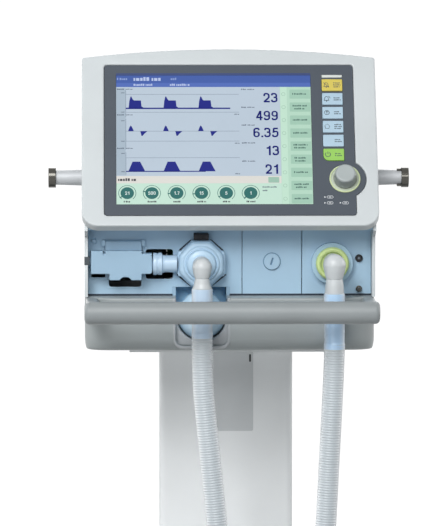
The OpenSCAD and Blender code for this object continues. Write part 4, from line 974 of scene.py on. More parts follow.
for k in range(menu["rows"]):
    double = k in menu["twoLines"]
    for i, indent in enumerate((2 + k % 3, 4 + k % 2) if double else (3,)):
        y = menu["textTop"] - menu["pitch"] * k - menu["line"] * i + (0 if double else -1.6)
        captions += greek(menu["textX"] + indent, y, menu["text"] - 2 * indent, 2.3, k + i)
    y = menu["iconTop"] - menu["pitch"] * k
    icons.append((arcLoop(menu["iconX"], y, 2.6, 16), (arcLoop(menu["iconX"], y, 2.0, 16),)))
art("screenCaptions", tone(74, 106, 100), 3.2, captions)
modes = greek(2, 33, 24, 4, 2)
for k, x in enumerate(dials["x"]):
    modes += greek(x - 4.4 - k % 2, 2.6, 9 + 2 * (k % 2), 2.4, k)
art("screenModes", tone(66, 66, 74), 1.8, modes)
art("screenIcons", tone(164, 200, 180), 1.9, icons)
art("screenStripButton", tone(160, 196, 178), 1.8, [box2d(190.4, 30.4, 204, 38.4, 0.8)])
art("screenDials", tone(54, 112, 108), 1.8, [arcLoop(x, dials["y"], dials["radius"], 40) for x in dials["x"]])
rings = []
for x, pointer in zip(dials["x"], dials["pointers"]):
    rings.append(strokeLoop([clockSpot(x, dials["y"], dials["arc"], a) for a in range(-140, 141, 10)], 0.7))
    rings.append(strokeLoop([clockSpot(x, dials["y"], radius, pointer) for radius in (8.2, 11.4)], 1.5))
art("screenDialRings", tone(60, 118, 112), 1.8, rings)
settings = [(text, x, 13.5) for text, x in zip(dials["figures"], dials["x"])]
art("screenDialFigures", tone(222, 238, 234), 2.4, figureArt(settings, 4.6, 0.5))
print("screen drawn")

# valve bay: panels, a dark strip painted as the shadow line at the panels' foot, a dark ceiling as painted shade
# under the bezel, window frames, a dark block painted as the shade in the notch in the wall
bay = {"panelEdge": 0.7, "face": 140, "shadowLines": ((-179, -72), (0, 179)), "shadowLineLow": (-140.9, 939.05),
       "shadowLineHigh": (-139.9, 941.3), "ceiling": ((-177.8, -176, 1027), (177.8, -141, 1028.5)),
       "notch": ((-182.9, -163.5, 979.2), (-176.2, -152, 989.8)), "frameWide": 2.2, "frameLap": -0.3,
       "windows": ((-106, 960, -71, 998, 3.4), (-152.5, 950, -111, 962, 3.4), (-174.5, 962, -156.5, 968, 1))}
for node, name in (("valve_panel", "valvePanel"), ("cell_cover", "cellCover"), ("port_panel", "portPanel")):
    copied(name, node, bayBlue, "bay", bay["panelEdge"])
# two dark strips where the panels meet the tray: a painted shadow line
shadowLine = bmesh.new()
for x0, x1 in bay["shadowLines"]:
    softBox(shadowLine, (x0, *bay["shadowLineLow"]), (x1, *bay["shadowLineHigh"]), 0.2, 1)
piece("bayShadowLine", shadowLine, shadeDark, "black")
# a dark plate under the bezel: its near-black colour is painted shade, and it keeps bounce light off the bay's top
piece("bayCeiling", made(softBox, *bay["ceiling"], 0.4, 1), shadeDark, "black")
frames = bmesh.new()
for x0, z0, x1, z1, radius in bay["windows"]:
    window = (x0, z0, x1, z1)
    plate(frames, box2d(*grownBox(window, bay["frameWide"]), 2.5), bay["face"] - 0.1, bay["face"] + 0.5, 0.3,
          [box2d(*grownBox(window, bay["frameLap"]), radius)], frontPlace(0), steps=2)
piece("windowFrames", frames, bayBlue, "bay")
# a dark block in the notch of the left wall: painted shade of the opening
piece("wallNotch", made(softBox, *bay["notch"], 0.6), packDark, "black")

# flap over the flow sensor
flap = {"x0": -174.5, "x1": -98, "low": 968, "high": 997, "front": -163.5, "back": -141.5, "thick": 2.5, "step": 992,
        "tab": (-156.5, -111), "hinge": (-143.7, 1006), "hingeRadius": 3.4, "tongue": 960,
        "thumb": (-131.25, 955.75, 8.5)}


def makeFlap(size):
    bm = bmesh.new()
    x0, x1, t0, t1 = size["x0"], size["x1"], *size["tab"]
    low, high, tongue, ledge = size["low"], size["high"], size["tongue"], size["step"]
    outline = [(x0, low, 1.5), (t0 + 5, low, 0.8), (t0 + 5, tongue, 1.5), *arcLoop(*size["thumb"], 12, 150, -120),
               (t1, tongue, 1.5), (t1, low, 0.8), (x1, low, 3), (x1, ledge, 2.5), (t1 + 3, ledge, 1.2),
               (t1 + 0.6, ledge, 1.2), (t1 + 0.6, high, 0.3), (t0 - 0.6, high, 0.3), (t0 - 0.6, ledge - 0.5, 1.2),
               (t0 - 3, ledge - 0.5, 1.2), (t0 - 3, high, 1), (x0, high, 2)]
    plate(bm, soften(outline), -size["front"] - size["thick"], -size["front"], 0.9, place=frontPlace(0), back=0.3)
    front, back, roof = size["front"] + 1.2, size["back"], high - size["thick"]
    softBox(bm, (x0, front, roof), (t0 - 3, back, high), 0.5)
    softBox(bm, (t0 - 0.6, front, roof), (t1 + 0.6, back - 2, high), 0.5)
    softBox(bm, (t0 - 3.4, front, ledge - 0.4), (x1, back, ledge + 1.4), 0.4)
    softBox(bm, (x0, front, low), (x0 + size["thick"], back, high - 0.2), 0.5)
    (y, z), radius = size["hinge"], size["hingeRadius"]
    softBox(bm, (t0, y - radius, roof), (t1, y, z), 0.6)
    turned(bm, [(0, t0), (radius, t0, 0.5), (radius, t1, 0.5), (0, t1)], aim((0, y, z), (1, 0, 0)), 24)
    return bm


piece("sensorFlap", makeFlap(flap), flapShadedBlue, "bay", "sensor_flap", ("sensor_flap",))
sensor = {"y": -151, "z": 980,
          "wall": [(7, -138), (9, -138, 0.5), (9, -97.4, 0.4), (11.6, -96.8, 0.5), (14, -96.4, 0.8), (14, -92, 0.8),
                   (13.2, -91.4, 0.4), (13.2, -90.4, 0.4), (14, -89.8, 0.8), (14, -85.4, 0.8), (11.4, -84.6, 0.8),
                   (10.8, -82, 0.6), (10.8, -66.6, 0.4), (7, -66.6)]}
tube = made(turned, sensor["wall"], aim((0, sensor["y"], sensor["z"]), (1, 0, 0)), closed=True)
piece("sensorTube", tube, sensorClear, "clear", stands=("flow_sensor",))

# one small screw in the bay and four in the rear panel
screw = {"head": [(0, 0), (3, 0, 0.2), (3, 0.9, 0.5), (1.6, 1.6, 0.8), (0, 1.6)], "bay": (-140, -170.5, 1008),
         "baySize": (1.15, 1.15, 1.3, 1), "rear": 162, "rearX": (-170.5, 170.5), "rearZ": (951, 1152)}
dome = made(turned, screw["head"], frontPlace(*screw["bay"]) @ Matrix.Diagonal(screw["baySize"]), 24)
piece("bayScrew", dome, valveBlue, "bay")
screws = bmesh.new()
for x in screw["rearX"]:
    for z in screw["rearZ"]:
        turned(screws, screw["head"], rearPlace(screw["rear"], x, z), 24)
piece("panelScrews", screws, studMetal, "metal", stands=("panel_screws",))
print("bay made")

# expiratory valve and the catch above it
valve = {"x": -36, "z": 980, "wide": 61, "high": 59.5, "ear": 15.8, "levels": (140, 154), "bossLevels": (150, 163),
         "dome": [(0, 160), (23.5, 160), (23.5, 163.2, 0.8), (21.5, 165, 1.5), (20.4, 165.2, 0.4), (20.0, 164.4, 0.3),
                  (19.2, 164.6, 0.4), (17.6, 168.4, 2.5), (13, 170, 1.5), (0, 170)],
         "spigot": [(0, 126), (19, 126, 1), (19, 141), (0, 141)],
         "gaps": ((-1, 1, 2.4), (1, 1, 2.6), (-1, -1, 4.2), (1, -1, 5.6)),
         "catch": ((-45.5, -156, 1010.1), (-26.5, -140.3, 1018.1)), "ribs": 6, "ribPitch": 2}
valvePlace = frontPlace(0, valve["x"], valve["z"])


def makeValve(size):
    half, rise, ear = size["wide"] / 2, size["high"] / 2, size["ear"]
    quarter = [(half - 18.9, rise, 3), (half - 4.9, ear + 0.4, 1), (half - 1.9, ear, 2), (half, 10, 6)]
    right = [(x, -y, r) for x, y, r in quarter] + quarter[::-1]
    bm = made(plate, soften(mirrored(right)), *size["levels"], 2.0, place=valvePlace, steps=5)
    boss = [(half - 19.5, -rise + 0.6, 9), (half - 2.2, -11.5, 12), (half - 2.2, 11.5, 12),
            (half - 19.5, rise - 0.6, 9)]
    plate(bm, soften(mirrored(boss), steps=8), *size["bossLevels"], 6, place=valvePlace, steps=7)
    turned(bm, size["dome"], valvePlace, 64)
    turned(bm, size["spigot"], valvePlace)
    return bm


piece("valveBlock", makeValve(valve), valveBlue, "bay", stands=("expiratory_valve",))
# dark strips along the valve's diagonal edges: painted shadow in the gaps between valve and panel
shadowGap = bmesh.new()
for sx, sy, wide in valve["gaps"]:
    corner = [(9.5, 29.5), (26.5, 13), (26.5 + wide, 14.6), (26.2 + wide * 0.5, 17.4), (13.4, 29.6), (12, 29.8)]
    plate(shadowGap, [(sx * x, sy * y) for x, y in corner], 140, 140.5, 0, place=valvePlace)
piece("valveGapShadows", shadowGap, shadeDark, "black")
catch = made(softBox, *valve["catch"], 1.0, 3)
piece("valveCatch", catch, catchBlack, "black", "valve_catch", ("valve_catch",))
rib = made(softBox, (-0.5, -0.5, -3), (0.5, 0.5, 3), 0.25, 1)
row("catchRibs", rib, valve["ribs"], (-41, -156.1, 1014.1), (valve["ribPitch"], 0, 0), catchBlack, "black",
    body="valve_catch")

# white elbows: a round knee in front and a neck that widens at the hose
elbow = {"y": -208, "tube": 11.3, "tubeEnd": 205.5, "cuff": 12,
         "expiratory": {"x": -36, "start": 168, "crown": 991.4, "radius": 12.3, "seam": 965.4, "neck": 9.2,
                        "low": 953},
         "inspiratory": {"x": 129, "start": 136, "crown": 995.8, "radius": 14.2, "seam": 964.4, "neck": 10.4,
                         "low": 947}}


def makeElbow(size, side):
    x, radius, seam, neck, low = (side[word] for word in ("x", "radius", "seam", "neck", "low"))
    centre = side["crown"] - radius
    profile = [clockSpot(0, centre, radius, a) for a in range(0, 91, 9)]
    profile[0] = (0.0, side["crown"])
    profile += soften([(radius - 0.1, centre - 1), (radius - 1.2, centre - 7, 4), (neck + 0.2, seam + 0.6, 0.3),
                       (neck - 0.5, seam + 0.3), (neck - 0.5, seam - 0.3), (neck, seam - 0.6, 0.3),
                       (neck + 1, seam - 7, 3), (size["cuff"], low + 0.5, 1), (size["cuff"], low - 4), (0, low - 4)],
                      False)
    dome = made(turned, profile, aim((x, size["y"], 0), (0, 0, 1)))
    level = [(0, side["start"]), (size["tube"], side["start"]), (size["tube"], size["tubeEnd"], 0.5),
             (0, size["tubeEnd"])]
    return carved(dome, [made(turned, level, frontPlace(0, x, centre + 0.4))], "UNION")


for side in ("expiratory", "inspiratory"):
    piece(side + "Knee", makeElbow(elbow, elbow[side]), whitePlastic, "white", stands=(side + "_elbow",))

# bowl under the valve
bowl = {"x": -36, "y": -156, "radius": 30.5, "bottom": 885, "wall": 2}


def makeBowl(size):
    r, low, wallThick = size["radius"], size["bottom"], size["wall"]
    outer = [clockSpot(0, low + r, r, 180 - a) for a in range(0, 91, 6)]
    outer[0] = (0.0, low)
    rim = soften([(r, low + r), (r, 921, 0.4), (r + 0.5, 922, 0.5), (r + 0.5, 925, 0.5), (r - 1, 926.5, 1),
                  (17, 941, 6), (12, 943, 1), (10, 948, 1), (10, 950), (7, 950), (7, 940, 1), (15, 938, 4),
                  (r - 3, 924, 1.5), (r - wallThick, low + r)], False)
    inner = [clockSpot(0, low + r, r - wallThick, 180 - a) for a in range(84, -1, -6)]
    inner[-1] = (0.0, low + wallThick)
    return made(turned, outer + rim[1:] + inner, aim((size["x"], size["y"], 0), (0, 0, 1)), 56)


piece("trapBowl", makeBowl(bowl), bowlBlue, "clear", stands=("water_trap",))

# inspiratory port's ring and the sockets beside it
port = {"x": 129, "z": 980, "socketX": 163, "socketZ": 986, "nozzleZ": 947.5,
        "ring": [(11.6, 150), (15, 150), (20.8, 150, 0.4), (20.8, 157, 2.2), (18.6, 160, 1.6), (15.4, 158.8, 0.8),
                 (14.2, 155, 0.6), (11.6, 154)],
        "socket": [(0, 136), (4.5, 136), (4.5, 142, 0.3), (4.5, 143, 0.5), (3.6, 143, 0.3), (2.9, 142, 0.3),
                   (0, 142)],
        "nozzle": [(0, 136), (2.4, 136), (2.4, 140), (4, 140, 0.2), (4, 144, 0.5), (2.4, 144, 0.3), (2.2, 149, 0.2),
                   (2.6, 150, 0.3), (2.1, 152, 0.3), (1, 152, 0.2), (1, 146), (0, 146)],
        "pin": [(0, 0), (1.5, 0), (1.5, 0.9, 0.3), (0, 1.1)], "pinRoot": -141.95}
socketPlace = frontPlace(0, port["socketX"], port["socketZ"])
nozzlePlace = frontPlace(0, port["socketX"], port["nozzleZ"])
pinPlace = frontPlace(port["pinRoot"], port["socketX"], port["socketZ"])
collar = made(turned, port["ring"], frontPlace(0, port["x"], port["z"]), 72, closed=True)
piece("portRing", collar, limePlastic, "lime", stands=("port_ring",))
piece("signalSocket", made(turned, port["socket"], socketPlace, 36), matBlack, "black")
piece("gasNozzle", made(turned, port["nozzle"], nozzlePlace, 36), capMetal, "metal", stands=("front_sockets",))
piece("socketPin", made(turned, port["pin"], pinPlace, 20), castGrey, "metal")

# quarter-turn lock of the cell cover
lock = {"x": 53.3, "z": 982, "radius": 10.3, "face": 143.3, "foot": 140.3, "shaft": (6, 124, 140.5), "groove": 0.9,
        "slot": (-1.0, -4.6, 1.0, 4.6), "slotCorner": 0.9, "lean": -18}
lockPlace = frontPlace(0, lock["x"], lock["z"])
lean = Matrix.Rotation(math.radians(lock["lean"]), 2)
slotLoop = [tuple(lean @ Vector(p)) for p in box2d(*lock["slot"], lock["slotCorner"])]
head = made(plate, arcLoop(0, 0, lock["radius"], 64), lock["foot"], lock["face"], 0.8, [slotLoop], lockPlace)
shaft, low, high = lock["shaft"]
plate(head, arcLoop(0, 0, shaft, 32), low, high, 0, place=lockPlace)
piece("lockHead", head, bayBlue, "bay", "cover_lock", ("cover_lock",))
# slot floor and groove: painted shade in the recess
slotFloor = made(plate, slotLoop, lock["foot"] + 0.1, 141.6, 0, place=lockPlace)
piece("lockSlot", slotFloor, slotShadedBlue, "bay", "cover_lock")
groove = made(plate, arcLoop(0, 0, lock["radius"] + lock["groove"], 64), 139.9, 140.25, 0, place=lockPlace)
piece("lockGroove", groove, slotShadedBlue, "bay")
print("valve, elbows and ports made")

# tray with its front fillet, hollow behind, and the niche for the bowl
tray = {"half": 182.5, "front": -180, "back": 165, "low": 872, "high": 939, "corner": 45, "heel": 6, "fillet": 16,
        "lip": 3, "wall": 4, "hollow": -113, "draw": 0.2}
niche = {"x": -36, "wide": 65, "low": 879.5, "back": -118, "corner": 9,
         "liner": (-67.6, 905, -4.4, 951, 6), "cheeks": ((-72, -67.7), (-4.3, 0)), "cup": (915.5, 31.5),
         "hollow": [(-70.4, 938.4), (-70.4, 877.6, 8), (-1.6, 877.6, 8), (-1.6, 938.4), (-3.4, 938.4)],
         "hollowEnd": (-68.6, 938.4),
         "rim": [(-72, 938.6), (-72, 874.2, 13), (0, 874.2, 13), (0, 938.6), (-3.6, 938.6), (-3.6, 878.6, 9),
                 (-68.4, 878.6, 9), (-68.4, 938.6)]}


def trayLoop(size, distance):
    less = size["draw"] * distance
    half, front, back = size["half"] - less, size["front"] + distance, size["back"] - less
    corner, heel = size["corner"] - distance, size["heel"] - less
    return soften([(-half, front, corner), (half, front, corner), (half, back, heel), (-half, back, heel)], steps=8)


def makeTray(size, hole):
    bm = bmesh.new()
    fillet, lip, high, thick = size["fillet"], size["lip"], size["high"], size["wall"]
    rows = []
    for k in range(9):
        a = math.radians(90 * k / 8)
        rows.append((fillet * (1 - math.sin(a)), size["low"] + fillet * (1 - math.cos(a))))
    for k in range(5):
        a = math.radians(90 * k / 4)
        rows.append((lip * (1 - math.cos(a)), high - lip + lip * math.sin(a)))
    rings = [[bm.verts.new((x, y, z)) for x, y in trayLoop(size, d)] for d, z in rows]
    for a, b in zip(rings, rings[1:]):
        wall(bm, a, b)
    bm.faces.new(rings[0])
    bm.faces.new(rings[-1])
    inside = size["half"] - thick
    cavity = made(softBox, (-inside, size["hollow"], size["low"] + thick),
                  (inside, size["back"] - thick, high + 20), 0)
    opening = box2d(hole["x"] - hole["wide"] / 2, hole["low"], hole["x"] + hole["wide"] / 2, high + 40,
                    hole["corner"])
    recess = made(plate, opening, -hole["back"], 240, 0, place=frontPlace(0))
    shape = carved(bm, [cavity, recess])
    bmesh.ops.remove_doubles(shape, verts=shape.verts, dist=0.001)
    return shape


piece("baseTray", makeTray(tray, niche), trayGrey, "tray", stands=("base_tray",), angle=30)
piece("nicheLiner", made(plate, box2d(*niche["liner"]), 118.4, 119.2, 0.2, place=frontPlace(0)), nicheLitBlue, "bay")
cheeks = bmesh.new()
for x0, x1 in niche["cheeks"]:
    softBox(cheeks, (x0, -139.6, 914), (x1, -118.4, 949.8), 0.3, 1)
piece("nicheCheeks", cheeks, flapShadedBlue, "bay")
hollow = soften(niche["hollow"] + arcLoop(niche["x"], *niche["cup"], 40, 0, -180) + [niche["hollowEnd"]])
piece("nicheHollow", made(plate, hollow, 150, 172, 2.5, place=frontPlace(0), steps=4), plateGrey, "tray")
rim = made(plate, soften(niche["rim"]), 160, 180.9, 1.7, place=frontPlace(0), steps=4)
piece("nicheRim", rim, plateGrey, "tray")

# front bar on its two arms
bar = {"y": -266, "z": 927, "radius": 14, "half": 182.5, "end": 6, "arms": ((-182.3, -164.5), (164.5, 182.3)),
       "armEdge": 4}


def makeBar(size):
    radius, half, end, z, edge = size["radius"], size["half"], size["end"], size["z"], size["armEdge"]
    bm = made(turned, [(0, -half), (radius, -half, end), (radius, half, end), (0, half)],
              aim((0, size["y"], z), (1, 0, 0)), soft=6)
    arm = soften([(-268, z + 9, 4), (-262, z + 13.4, 6), (-205, 937.5, 30), (-138, 938.6), (-138, 916),
                  (-205, 917, 20), (-262, z - 11, 6), (-268, z - 8, 4)])
    for x0, x1 in size["arms"]:
        plate(bm, arm, x0, x1, edge, place=acrossPlace, back=edge, steps=4)
    return bm


piece("frontBar", makeBar(bar), barGrey, "tray", stands=("front_bar",), angle=30)

# side studs with polished caps, and a spring clip behind the right one, open to the front
stud = {"y": -90, "z": 1085.5, "clip": (11.7, 8.7), "clipReach": 118, "clipLevels": (213.6, 218.9),
        "tube": [(0, 176.6), (6, 176.6), (6, 182.5), (10.4, 182.5), (10.2, 184, 0.4), (9.1, 217, 0.3), (9.1, 219.4),
                 (0, 219.4)],
        "cap": [(0, 219), (9, 219), (12.9, 219, 0.6), (12.9, 228.5, 0.8), (0, 228.5)]}
studs, caps = bmesh.new(), bmesh.new()
for side in (-1, 1):
    place = aim((0, stud["y"], stud["z"]), (side, 0, 0))
    turned(studs, stud["tube"], place)
    turned(caps, stud["cap"], place, 96)
piece("sideStuds", studs, studMetal, "stud", stands=("side_studs",))
piece("studCaps", caps, capMetal, "cap", stands=("stud_caps",))
reach = stud["clipReach"]
clipLoop = arcLoop(stud["y"], stud["z"], stud["clip"][0], 40, -reach, 2 * reach)
clipLoop += arcLoop(stud["y"], stud["z"], stud["clip"][1], 40, reach, -2 * reach)
clip = made(plate, clipLoop, *stud["clipLevels"], 0.5, place=acrossPlace, back=0.5)
piece("studClip", clip, capMetal, "cap")
print("tray, bar and studs made")


# the long edges that get a larger radius
def atSides(half, a, b):
    return all(abs(abs(end.x) - half) < 0.1 for end in (a, b))


def housingCorner(a, b):
    return atSides(housing["half"], a, b) and min(a.z, b.z) > 1000 and max(a.y, b.y) > -180


def columnCorner(a, b):
    return atSides(column["half"], a, b) and max(a.y, b.y) < 30 and abs(a.z - b.z) > 300


def baseTop(a, b):
    return min(a.z, b.z) > 149


# housing with its vents
housing = {"half": 182.5, "edge": 0.6, "corner": 6.0, "vents": 10, "ventPitch": 7.5, "ventZ": 1000,
           "ventStart": {"Left": (-1, -110), "Right": (1, 40)}}
copied("housingShell", "rear_housing", paleShell, "bezel", housing["edge"], wide=housingCorner,
       wideEdge=housing["corner"])
for word, (side, first) in housing["ventStart"].items():
    vent = made(plate, box2d(-1.6, -19, 1.6, 19, 1.5), -0.4, 0.12, 0.1, place=identity, steps=1)
    row("sideVents" + word, vent, housing["vents"], (first, housing["ventZ"], 0), (housing["ventPitch"], 0, 0),
        matBlack, "black", sidePlace(side, housing["half"]))

# rear panel: mains inlet, rocker, gas spigot, filter, earth stud, data sockets
rear = {"inlet": (-118, 973), "blades": ((-6.5, -2), (6.5, -2), (0, 4)), "bladeEnds": (146, 158.5),
        "rocker": (-68, 160, 973), "rockerTilt": 10, "spigot": (120, 975), "thread": 1.6, "turns": 12,
        "foam": ((-15, 162.2, 1017), (95, 164.6, 1097)), "earth": (-20, 967),
        "earthPost": [(0, 160), (3, 160), (3, 176, 0.8), (0, 176)]}
copied("rearPanel", "rear_panel", paleShell, "bezel", 0.5)
copied("mainsInlet", "mains_inlet", matBlack, "black", 0.8)
blades = bmesh.new()
x, z = rear["inlet"]
y0, y1 = rear["bladeEnds"]
for a, b in rear["blades"]:
    softBox(blades, (x + a - 1, y0, z + b - 2.2), (x + a + 1, y1, z + b + 2.2), 0.4)
piece("inletBlades", blades, brightMetal, "metal")
copied("powerRocker", "power_switch", rockerGreen, "black", 0.8, "power_switch")
rockerTurn = Matrix.Rotation(math.radians(rear["rockerTilt"]), 4, "X")
rockerPlace = Matrix.Translation(rear["rocker"]) @ rockerTurn @ rearPlace(6)
onOff = made(inked, box2d(-0.5, 3.6, 0.5, 7), 0, 0.12, place=rockerPlace)
inked(onOff, arcLoop(0, -5, 1.9, 24), 0, 0.12, [arcLoop(0, -5, 1.2, 24)], rockerPlace)
piece("rockerMarks", onOff, inkWhite, "white", "power_switch")


def makeSpigot(size):
    x, z = size["spigot"]
    thread = [(0, 138), (7.9, 138), (7.9, 168)]
    for k in range(size["turns"]):
        thread += [(7.9, 168 + k * size["thread"]), (7.2, 168.8 + k * size["thread"])]
    thread += [(7.6, 188.4), (7.0, 190), (3, 190), (3, 160), (0, 160)]
    bm = made(turned, thread, aim((x, 0, z), (0, 1, 0)), 40)
    plate(bm, arcLoop(0, 0, 13, 6), 162, 168, 0.8, place=rearPlace(0, x, z))
    return bm


piece("oxygenSpigot", makeSpigot(rear), brightMetal, "metal", stands=("oxygen_inlet",))
copied("filterGrille", "filter_cover", plateGrey, "inside", 0.6)
piece("filterFoam", made(softBox, *rear["foam"], 0.8), foamGrey, "inside")
x, z = rear["earth"]
earth = made(turned, rear["earthPost"], aim((x, 0, z), (0, 1, 0)), 24)
plate(earth, arcLoop(0, 0, 6.2, 6), 162, 166, 0.5, place=rearPlace(0, x, z))
piece("earthStud", earth, brightMetal, "metal")
dataSocket = {"x": (26, 70), "z": 968, "pitch": 2.7, "pinRows": ((5, 1.4), (4, -1.4)), "postX": (-12.5, 12.5),
              "mouth": [(-7.6, -3.6, 1.8), (7.6, -3.6, 1.8), (8.8, 3.8, 1.8), (-8.8, 3.8, 1.8)],
              "pin": [(0, 163), (0.55, 163), (0.55, 167, 0.3), (0, 167.3)]}
mouth, pitch = soften(dataSocket["mouth"]), dataSocket["pitch"]
flanges, shells, posts = bmesh.new(), bmesh.new(), bmesh.new()
for x in dataSocket["x"]:
    place = rearPlace(0, x, dataSocket["z"])
    plate(flanges, box2d(-15.4, -6.2, 15.4, 6.2, 1.6), 161.9, 163.1, 0.3, place=place)
    plate(shells, inset(mouth, -0.8), 163, 168.2, 0.25, [mouth], place)
    plate(shells, inset(mouth, -0.7), 162.8, 163.5, 0, place=place)
    for a in dataSocket["postX"]:
        plate(posts, arcLoop(a, 0, 2.9, 6), 163, 167.4, 0.4, [arcLoop(a, 0, 1.5, 16)], place)
    for count, rise in dataSocket["pinRows"]:
        row("dataPins%d_%d" % (x, count), made(turned, dataSocket["pin"], identity, 10), count,
            (-pitch * (count - 1) / 2, rise, 0), (pitch, 0, 0), brightMetal, "metal", place)
piece("dataFlanges", flanges, brightMetal, "metal")
piece("dataShells", shells, brightMetal, "metal")
piece("dataPosts", posts, brightMetal, "metal")
print("housing and rear made")

# column and base
column = {"half": 86, "edge": 0.6, "corner": 8.0, "plate": (-17, 750, 35, 853, 2),
          "slot": (29.6, 840, 32.2, 850, 1.2)}
copied("columnCover", "column_cover", columnGrey, "column", column["edge"], wide=columnCorner,
       wideEdge=column["corner"], wideSteps=6)
badge = made(plate, box2d(*column["plate"]), -25.2, -24.6, 0.25, place=frontPlace(0))
piece("blankPlate", badge, labelGrey, "column")
slotMark = made(plate, box2d(*column["slot"]), -24.8, -24.4, 0.1, place=frontPlace(0))
piece("plateSlot", slotMark, matBlack, "black")
copied("baseCross", "base_crossmember", baseGrey, "base", 1.0, wide=baseTop, wideEdge=5.0, wideSteps=4)
copied("baseBeams", "base_beams", baseGrey, "base", 0.8, angle=30, wide=baseTop, wideEdge=7.0)

# casters: fork, twin wheels with their hubs and bolts, pedals in front
corners = {"front_left": (-258.5, -278.5), "front_right": (258.5, -278.5), "rear_left": (-258.5, 257.5),
           "rear_right": (258.5, 257.5)}
wheel = {"radius": 50, "inner": 6, "wide": 20, "trail": 25, "axle": 50, "pin": (6.5, 3)}
forkSize = {"outer": 54.5, "inner": 52, "half": 27, "foot": 12.7, "web": 5, "webFoot": -10.6, "axleHole": 7,
            "swivel": 24, "seat": 107.6, "stem": 6, "top": 134, "pedal": (-22, 92), "lug": 5, "lugHalf": 4,
            "pin": 2.6}
pedal = {"ribs": 6, "ribY": -332, "ribZ": 95, "ribPitch": 4, "rib": ((-13, -0.7, -0.3), (13, 0.7, 0.7))}


def makeFork(size, x, y, braked):
    centre, axle, foot, webFoot = y + wheel["trail"], wheel["axle"], size["foot"], size["webFoot"]
    hood = arcLoop(centre, axle, size["outer"], 56, foot, 180 - 2 * foot)
    hood += arcLoop(centre, axle, size["inner"], 56, 180 - foot, 2 * foot - 180)
    bm = made(plate, hood, x - size["half"], x + size["half"], 0.8, place=acrossPlace, back=0.8)
    web = arcLoop(centre, axle, size["outer"] - 0.8, 64, webFoot, 180 - 2 * webFoot)
    plate(bm, web, x - size["web"], x + size["web"], 0.7, [arcLoop(centre, axle, size["axleHole"], 24)],
          acrossPlace, 0.7)
    seat, stem, swivel, top = size["seat"], size["stem"], size["swivel"], size["top"]
    turned(bm, [(0, 100.5), (swivel - 3, 100.5), (swivel - 1, 103, 1), (swivel, 104, 0.6), (swivel, seat, 0.7),
                (17, seat, 0.2), (16.4, seat - 0.6), (stem, seat - 0.6), (stem, top, 1), (0, top)],
           aim((x, y, 0), (0, 0, 1)), 56)
    if braked:
        back, high = size["pedal"]
        lug, half = size["lug"], size["lugHalf"]
        plate(bm, box2d(y + back - lug, high - lug, y - 2, high + lug, 2.4), x - half, x + half, 0.5,
              [arcLoop(y + back, high, size["pin"], 20)], acrossPlace, 0.5)
    return bm


def makeWheels(size, x, y):
    tyres, hubs, bolts = bmesh.new(), bmesh.new(), bmesh.new()
    r, a, b = size["radius"], size["inner"], size["inner"] + size["wide"]
    axle = (x, y + size["trail"], size["axle"])
    for side in (-1, 1):
        place = aim(axle, (side, 0, 0))
        turned(tyres, [(38, a), (r - 2, a, 1), (r - 0.2, a + 3, 2), (r, a + 10, 20), (r - 0.4, b - 5, 2),
                       (r - 4, b - 0.6, 2), (37, b - 0.4, 0.5), (36, b - 3)], place, 72, closed=True)
        turned(hubs, [(0, a), (38.1, a), (38.1, b - 3.2), (35.8, b - 0.8, 0.6), (34, b - 1.2, 0.6), (31, b - 4, 2),
                      (14, b - 4.6, 2), (11, b - 1.4, 1), (9, b - 0.4, 1), (0, b - 0.4)], place, 56)
        turned(bolts, [(0, b - 1), (5, b - 1), (5, b, 0.3), (2.6, b, 0.2), (2.4, b - 0.6), (0, b - 0.6)], place, 24)
    long, thick = size["pin"]
    half = Vector((long, thick, thick))
    softBox(hubs, Vector(axle) - half, Vector(axle) + half, 1.2)
    return tyres, hubs, bolts


for corner, (x, y) in corners.items():
    label = "".join(word.capitalize() for word in corner.split("_"))
    fork = makeFork(forkSize, x, y, corner.startswith("front"))
    piece("casterFork" + label, fork, casterGrey, "caster", "caster_" + corner, ("caster_fork_" + corner,))
    tyres, hubs, bolts = makeWheels(wheel, x, y)
    rider = "wheels_" + corner
    piece("tyres" + label, tyres, tyreGrey, "tyre", rider, ("caster_wheels_" + corner,))
    piece("hubs" + label, hubs, hubGrey, "caster", rider)
    piece("hubBolts" + label, bolts, brightMetal, "metal", rider)
for side in ("left", "right"):
    body, label = "brake_pedal_" + side, side.capitalize()
    copied("brakePedal" + label, body, pedalRed, "pedal", 0.7, body)
    row("pedalRibs" + label, made(softBox, *pedal["rib"], 0.3, 1), pedal["ribs"],
        (corners["front_" + side][0], pedal["ribY"], pedal["ribZ"]), (0, pedal["ribPitch"], 0), pedalRed,
        "pedal", body=body)
print("column, base and casters made")

# CAD nodes that stay as they are
kept = {"main_board": boardGreen, "blower_housing": castGrey, "blower_impeller": hubGrey, "gas_block": castGrey,
        "power_supply": plateGrey, "battery_pack": packDark, "knob_spindle": brightMetal, "column_frame": columnGrey}
for node, material in kept.items():
    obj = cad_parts[node]
    if not obj.material_slots:
        obj.data.materials.append(material)
    for holder in obj.material_slots:
        holder.material = material

# floor, world and lamps
floorLook = {"bounce": tone(160, 160, 160), "seen": tone(243, 243, 243), "rough": 0.9, "glow": 1.18, "near": 0.9,
             "far": 3.2, "nearShare": 0.5, "farShare": 0.88, "size": 120}
studio = {"ambient": 0.13, "tint": [0.88, 0.95, 1.0, 1.0], "white": [1.0, 1.0, 1.0, 1.0], "target": (0, 0, 0.9),
          "lamps": [((-1.1, -3.9, 4.1), 2.4, 130), ((1.0, -4.6, 2.6), 1.4, 30), ((-1.5, -3.6, 0.3), 1.6, 16),
                    ((-1.8, -4.4, 3.1), 1.8, 74), ((0.0, 3.8, 3.0), 3.0, 70), ((-4.6, 1.6, 2.4), 2.6, 78),
                    ((4.6, 1.6, 2.4), 2.6, 80)]}


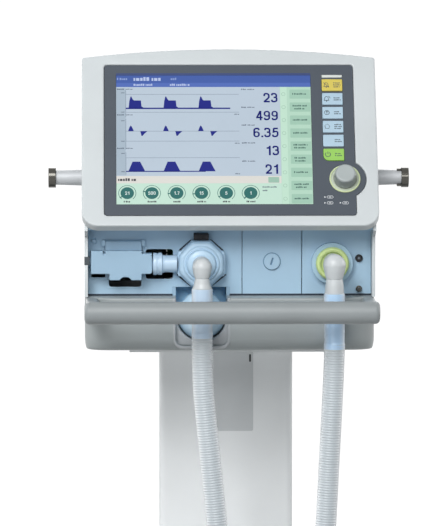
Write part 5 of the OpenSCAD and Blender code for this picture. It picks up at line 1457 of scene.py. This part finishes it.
# 1 where the camera, a reflection or a view through glass meets the background
def seenRays(tree):
    rays = step(tree, "ShaderNodeLightPath").outputs
    direct = maths(tree, "MAXIMUM", rays["Is Camera Ray"], rays["Is Glossy Ray"])
    return maths(tree, "MAXIMUM", direct, rays["Is Transmission Ray"])


def makeFloor(look):
    ground = bmesh.new()
    bmesh.ops.create_grid(ground, x_segments=1, y_segments=1, size=look["size"])
    mesh = bpy.data.meshes.new("floor")
    ground.to_mesh(mesh)
    ground.free()
    linked("floor", mesh)
    material = bpy.data.materials.new("floorWhite")
    material.use_nodes = True
    tree = material.node_tree
    shader = tree.nodes["Principled BSDF"]
    shader.inputs["Roughness"].default_value = look["rough"]
    seen = seenRays(tree)
    tree.links.new(mixed(tree, seen, look["bounce"], look["seen"]), shader.inputs["Base Color"])
    light = step(tree, "ShaderNodeEmission", [("Strength", look["glow"])])
    # the shadow shows near the object, and the far floor is white
    spot = step(tree, "ShaderNodeTexCoord").outputs["Object"]
    away = step(tree, "ShaderNodeVectorMath", [(0, spot)], operation="LENGTH").outputs["Value"]
    share = spread(tree, away, look["near"], look["far"], look["nearShare"], look["farShare"])
    mix = step(tree, "ShaderNodeMixShader", [(0, maths(tree, "MULTIPLY", seen, share)), (1, shader.outputs[0]),
                                             (2, light.outputs[0])])
    tree.links.new(mix.outputs[0], tree.nodes["Material Output"].inputs["Surface"])
    mesh.materials.append(material)


def makeStudio(light):
    scene.world = bpy.data.worlds.new("studio")
    scene.world.use_nodes = True
    tree = scene.world.node_tree
    sky = tree.nodes["Background"]
    seen = seenRays(tree)
    tree.links.new(spread(tree, seen, 0, 1, light["ambient"], 1.0), sky.inputs["Strength"])
    tree.links.new(mixed(tree, seen, light["tint"], light["white"]), sky.inputs["Color"])
    for i, (spot, size, power) in enumerate(light["lamps"]):
        data = bpy.data.lights.new("softbox%d" % i, "AREA")
        data.size = size
        data.energy = power
        lookAt(linked("softbox%d" % i, data), spot, light["target"])


makeFloor(floorLook)
makeStudio(studio)
print("studio set")
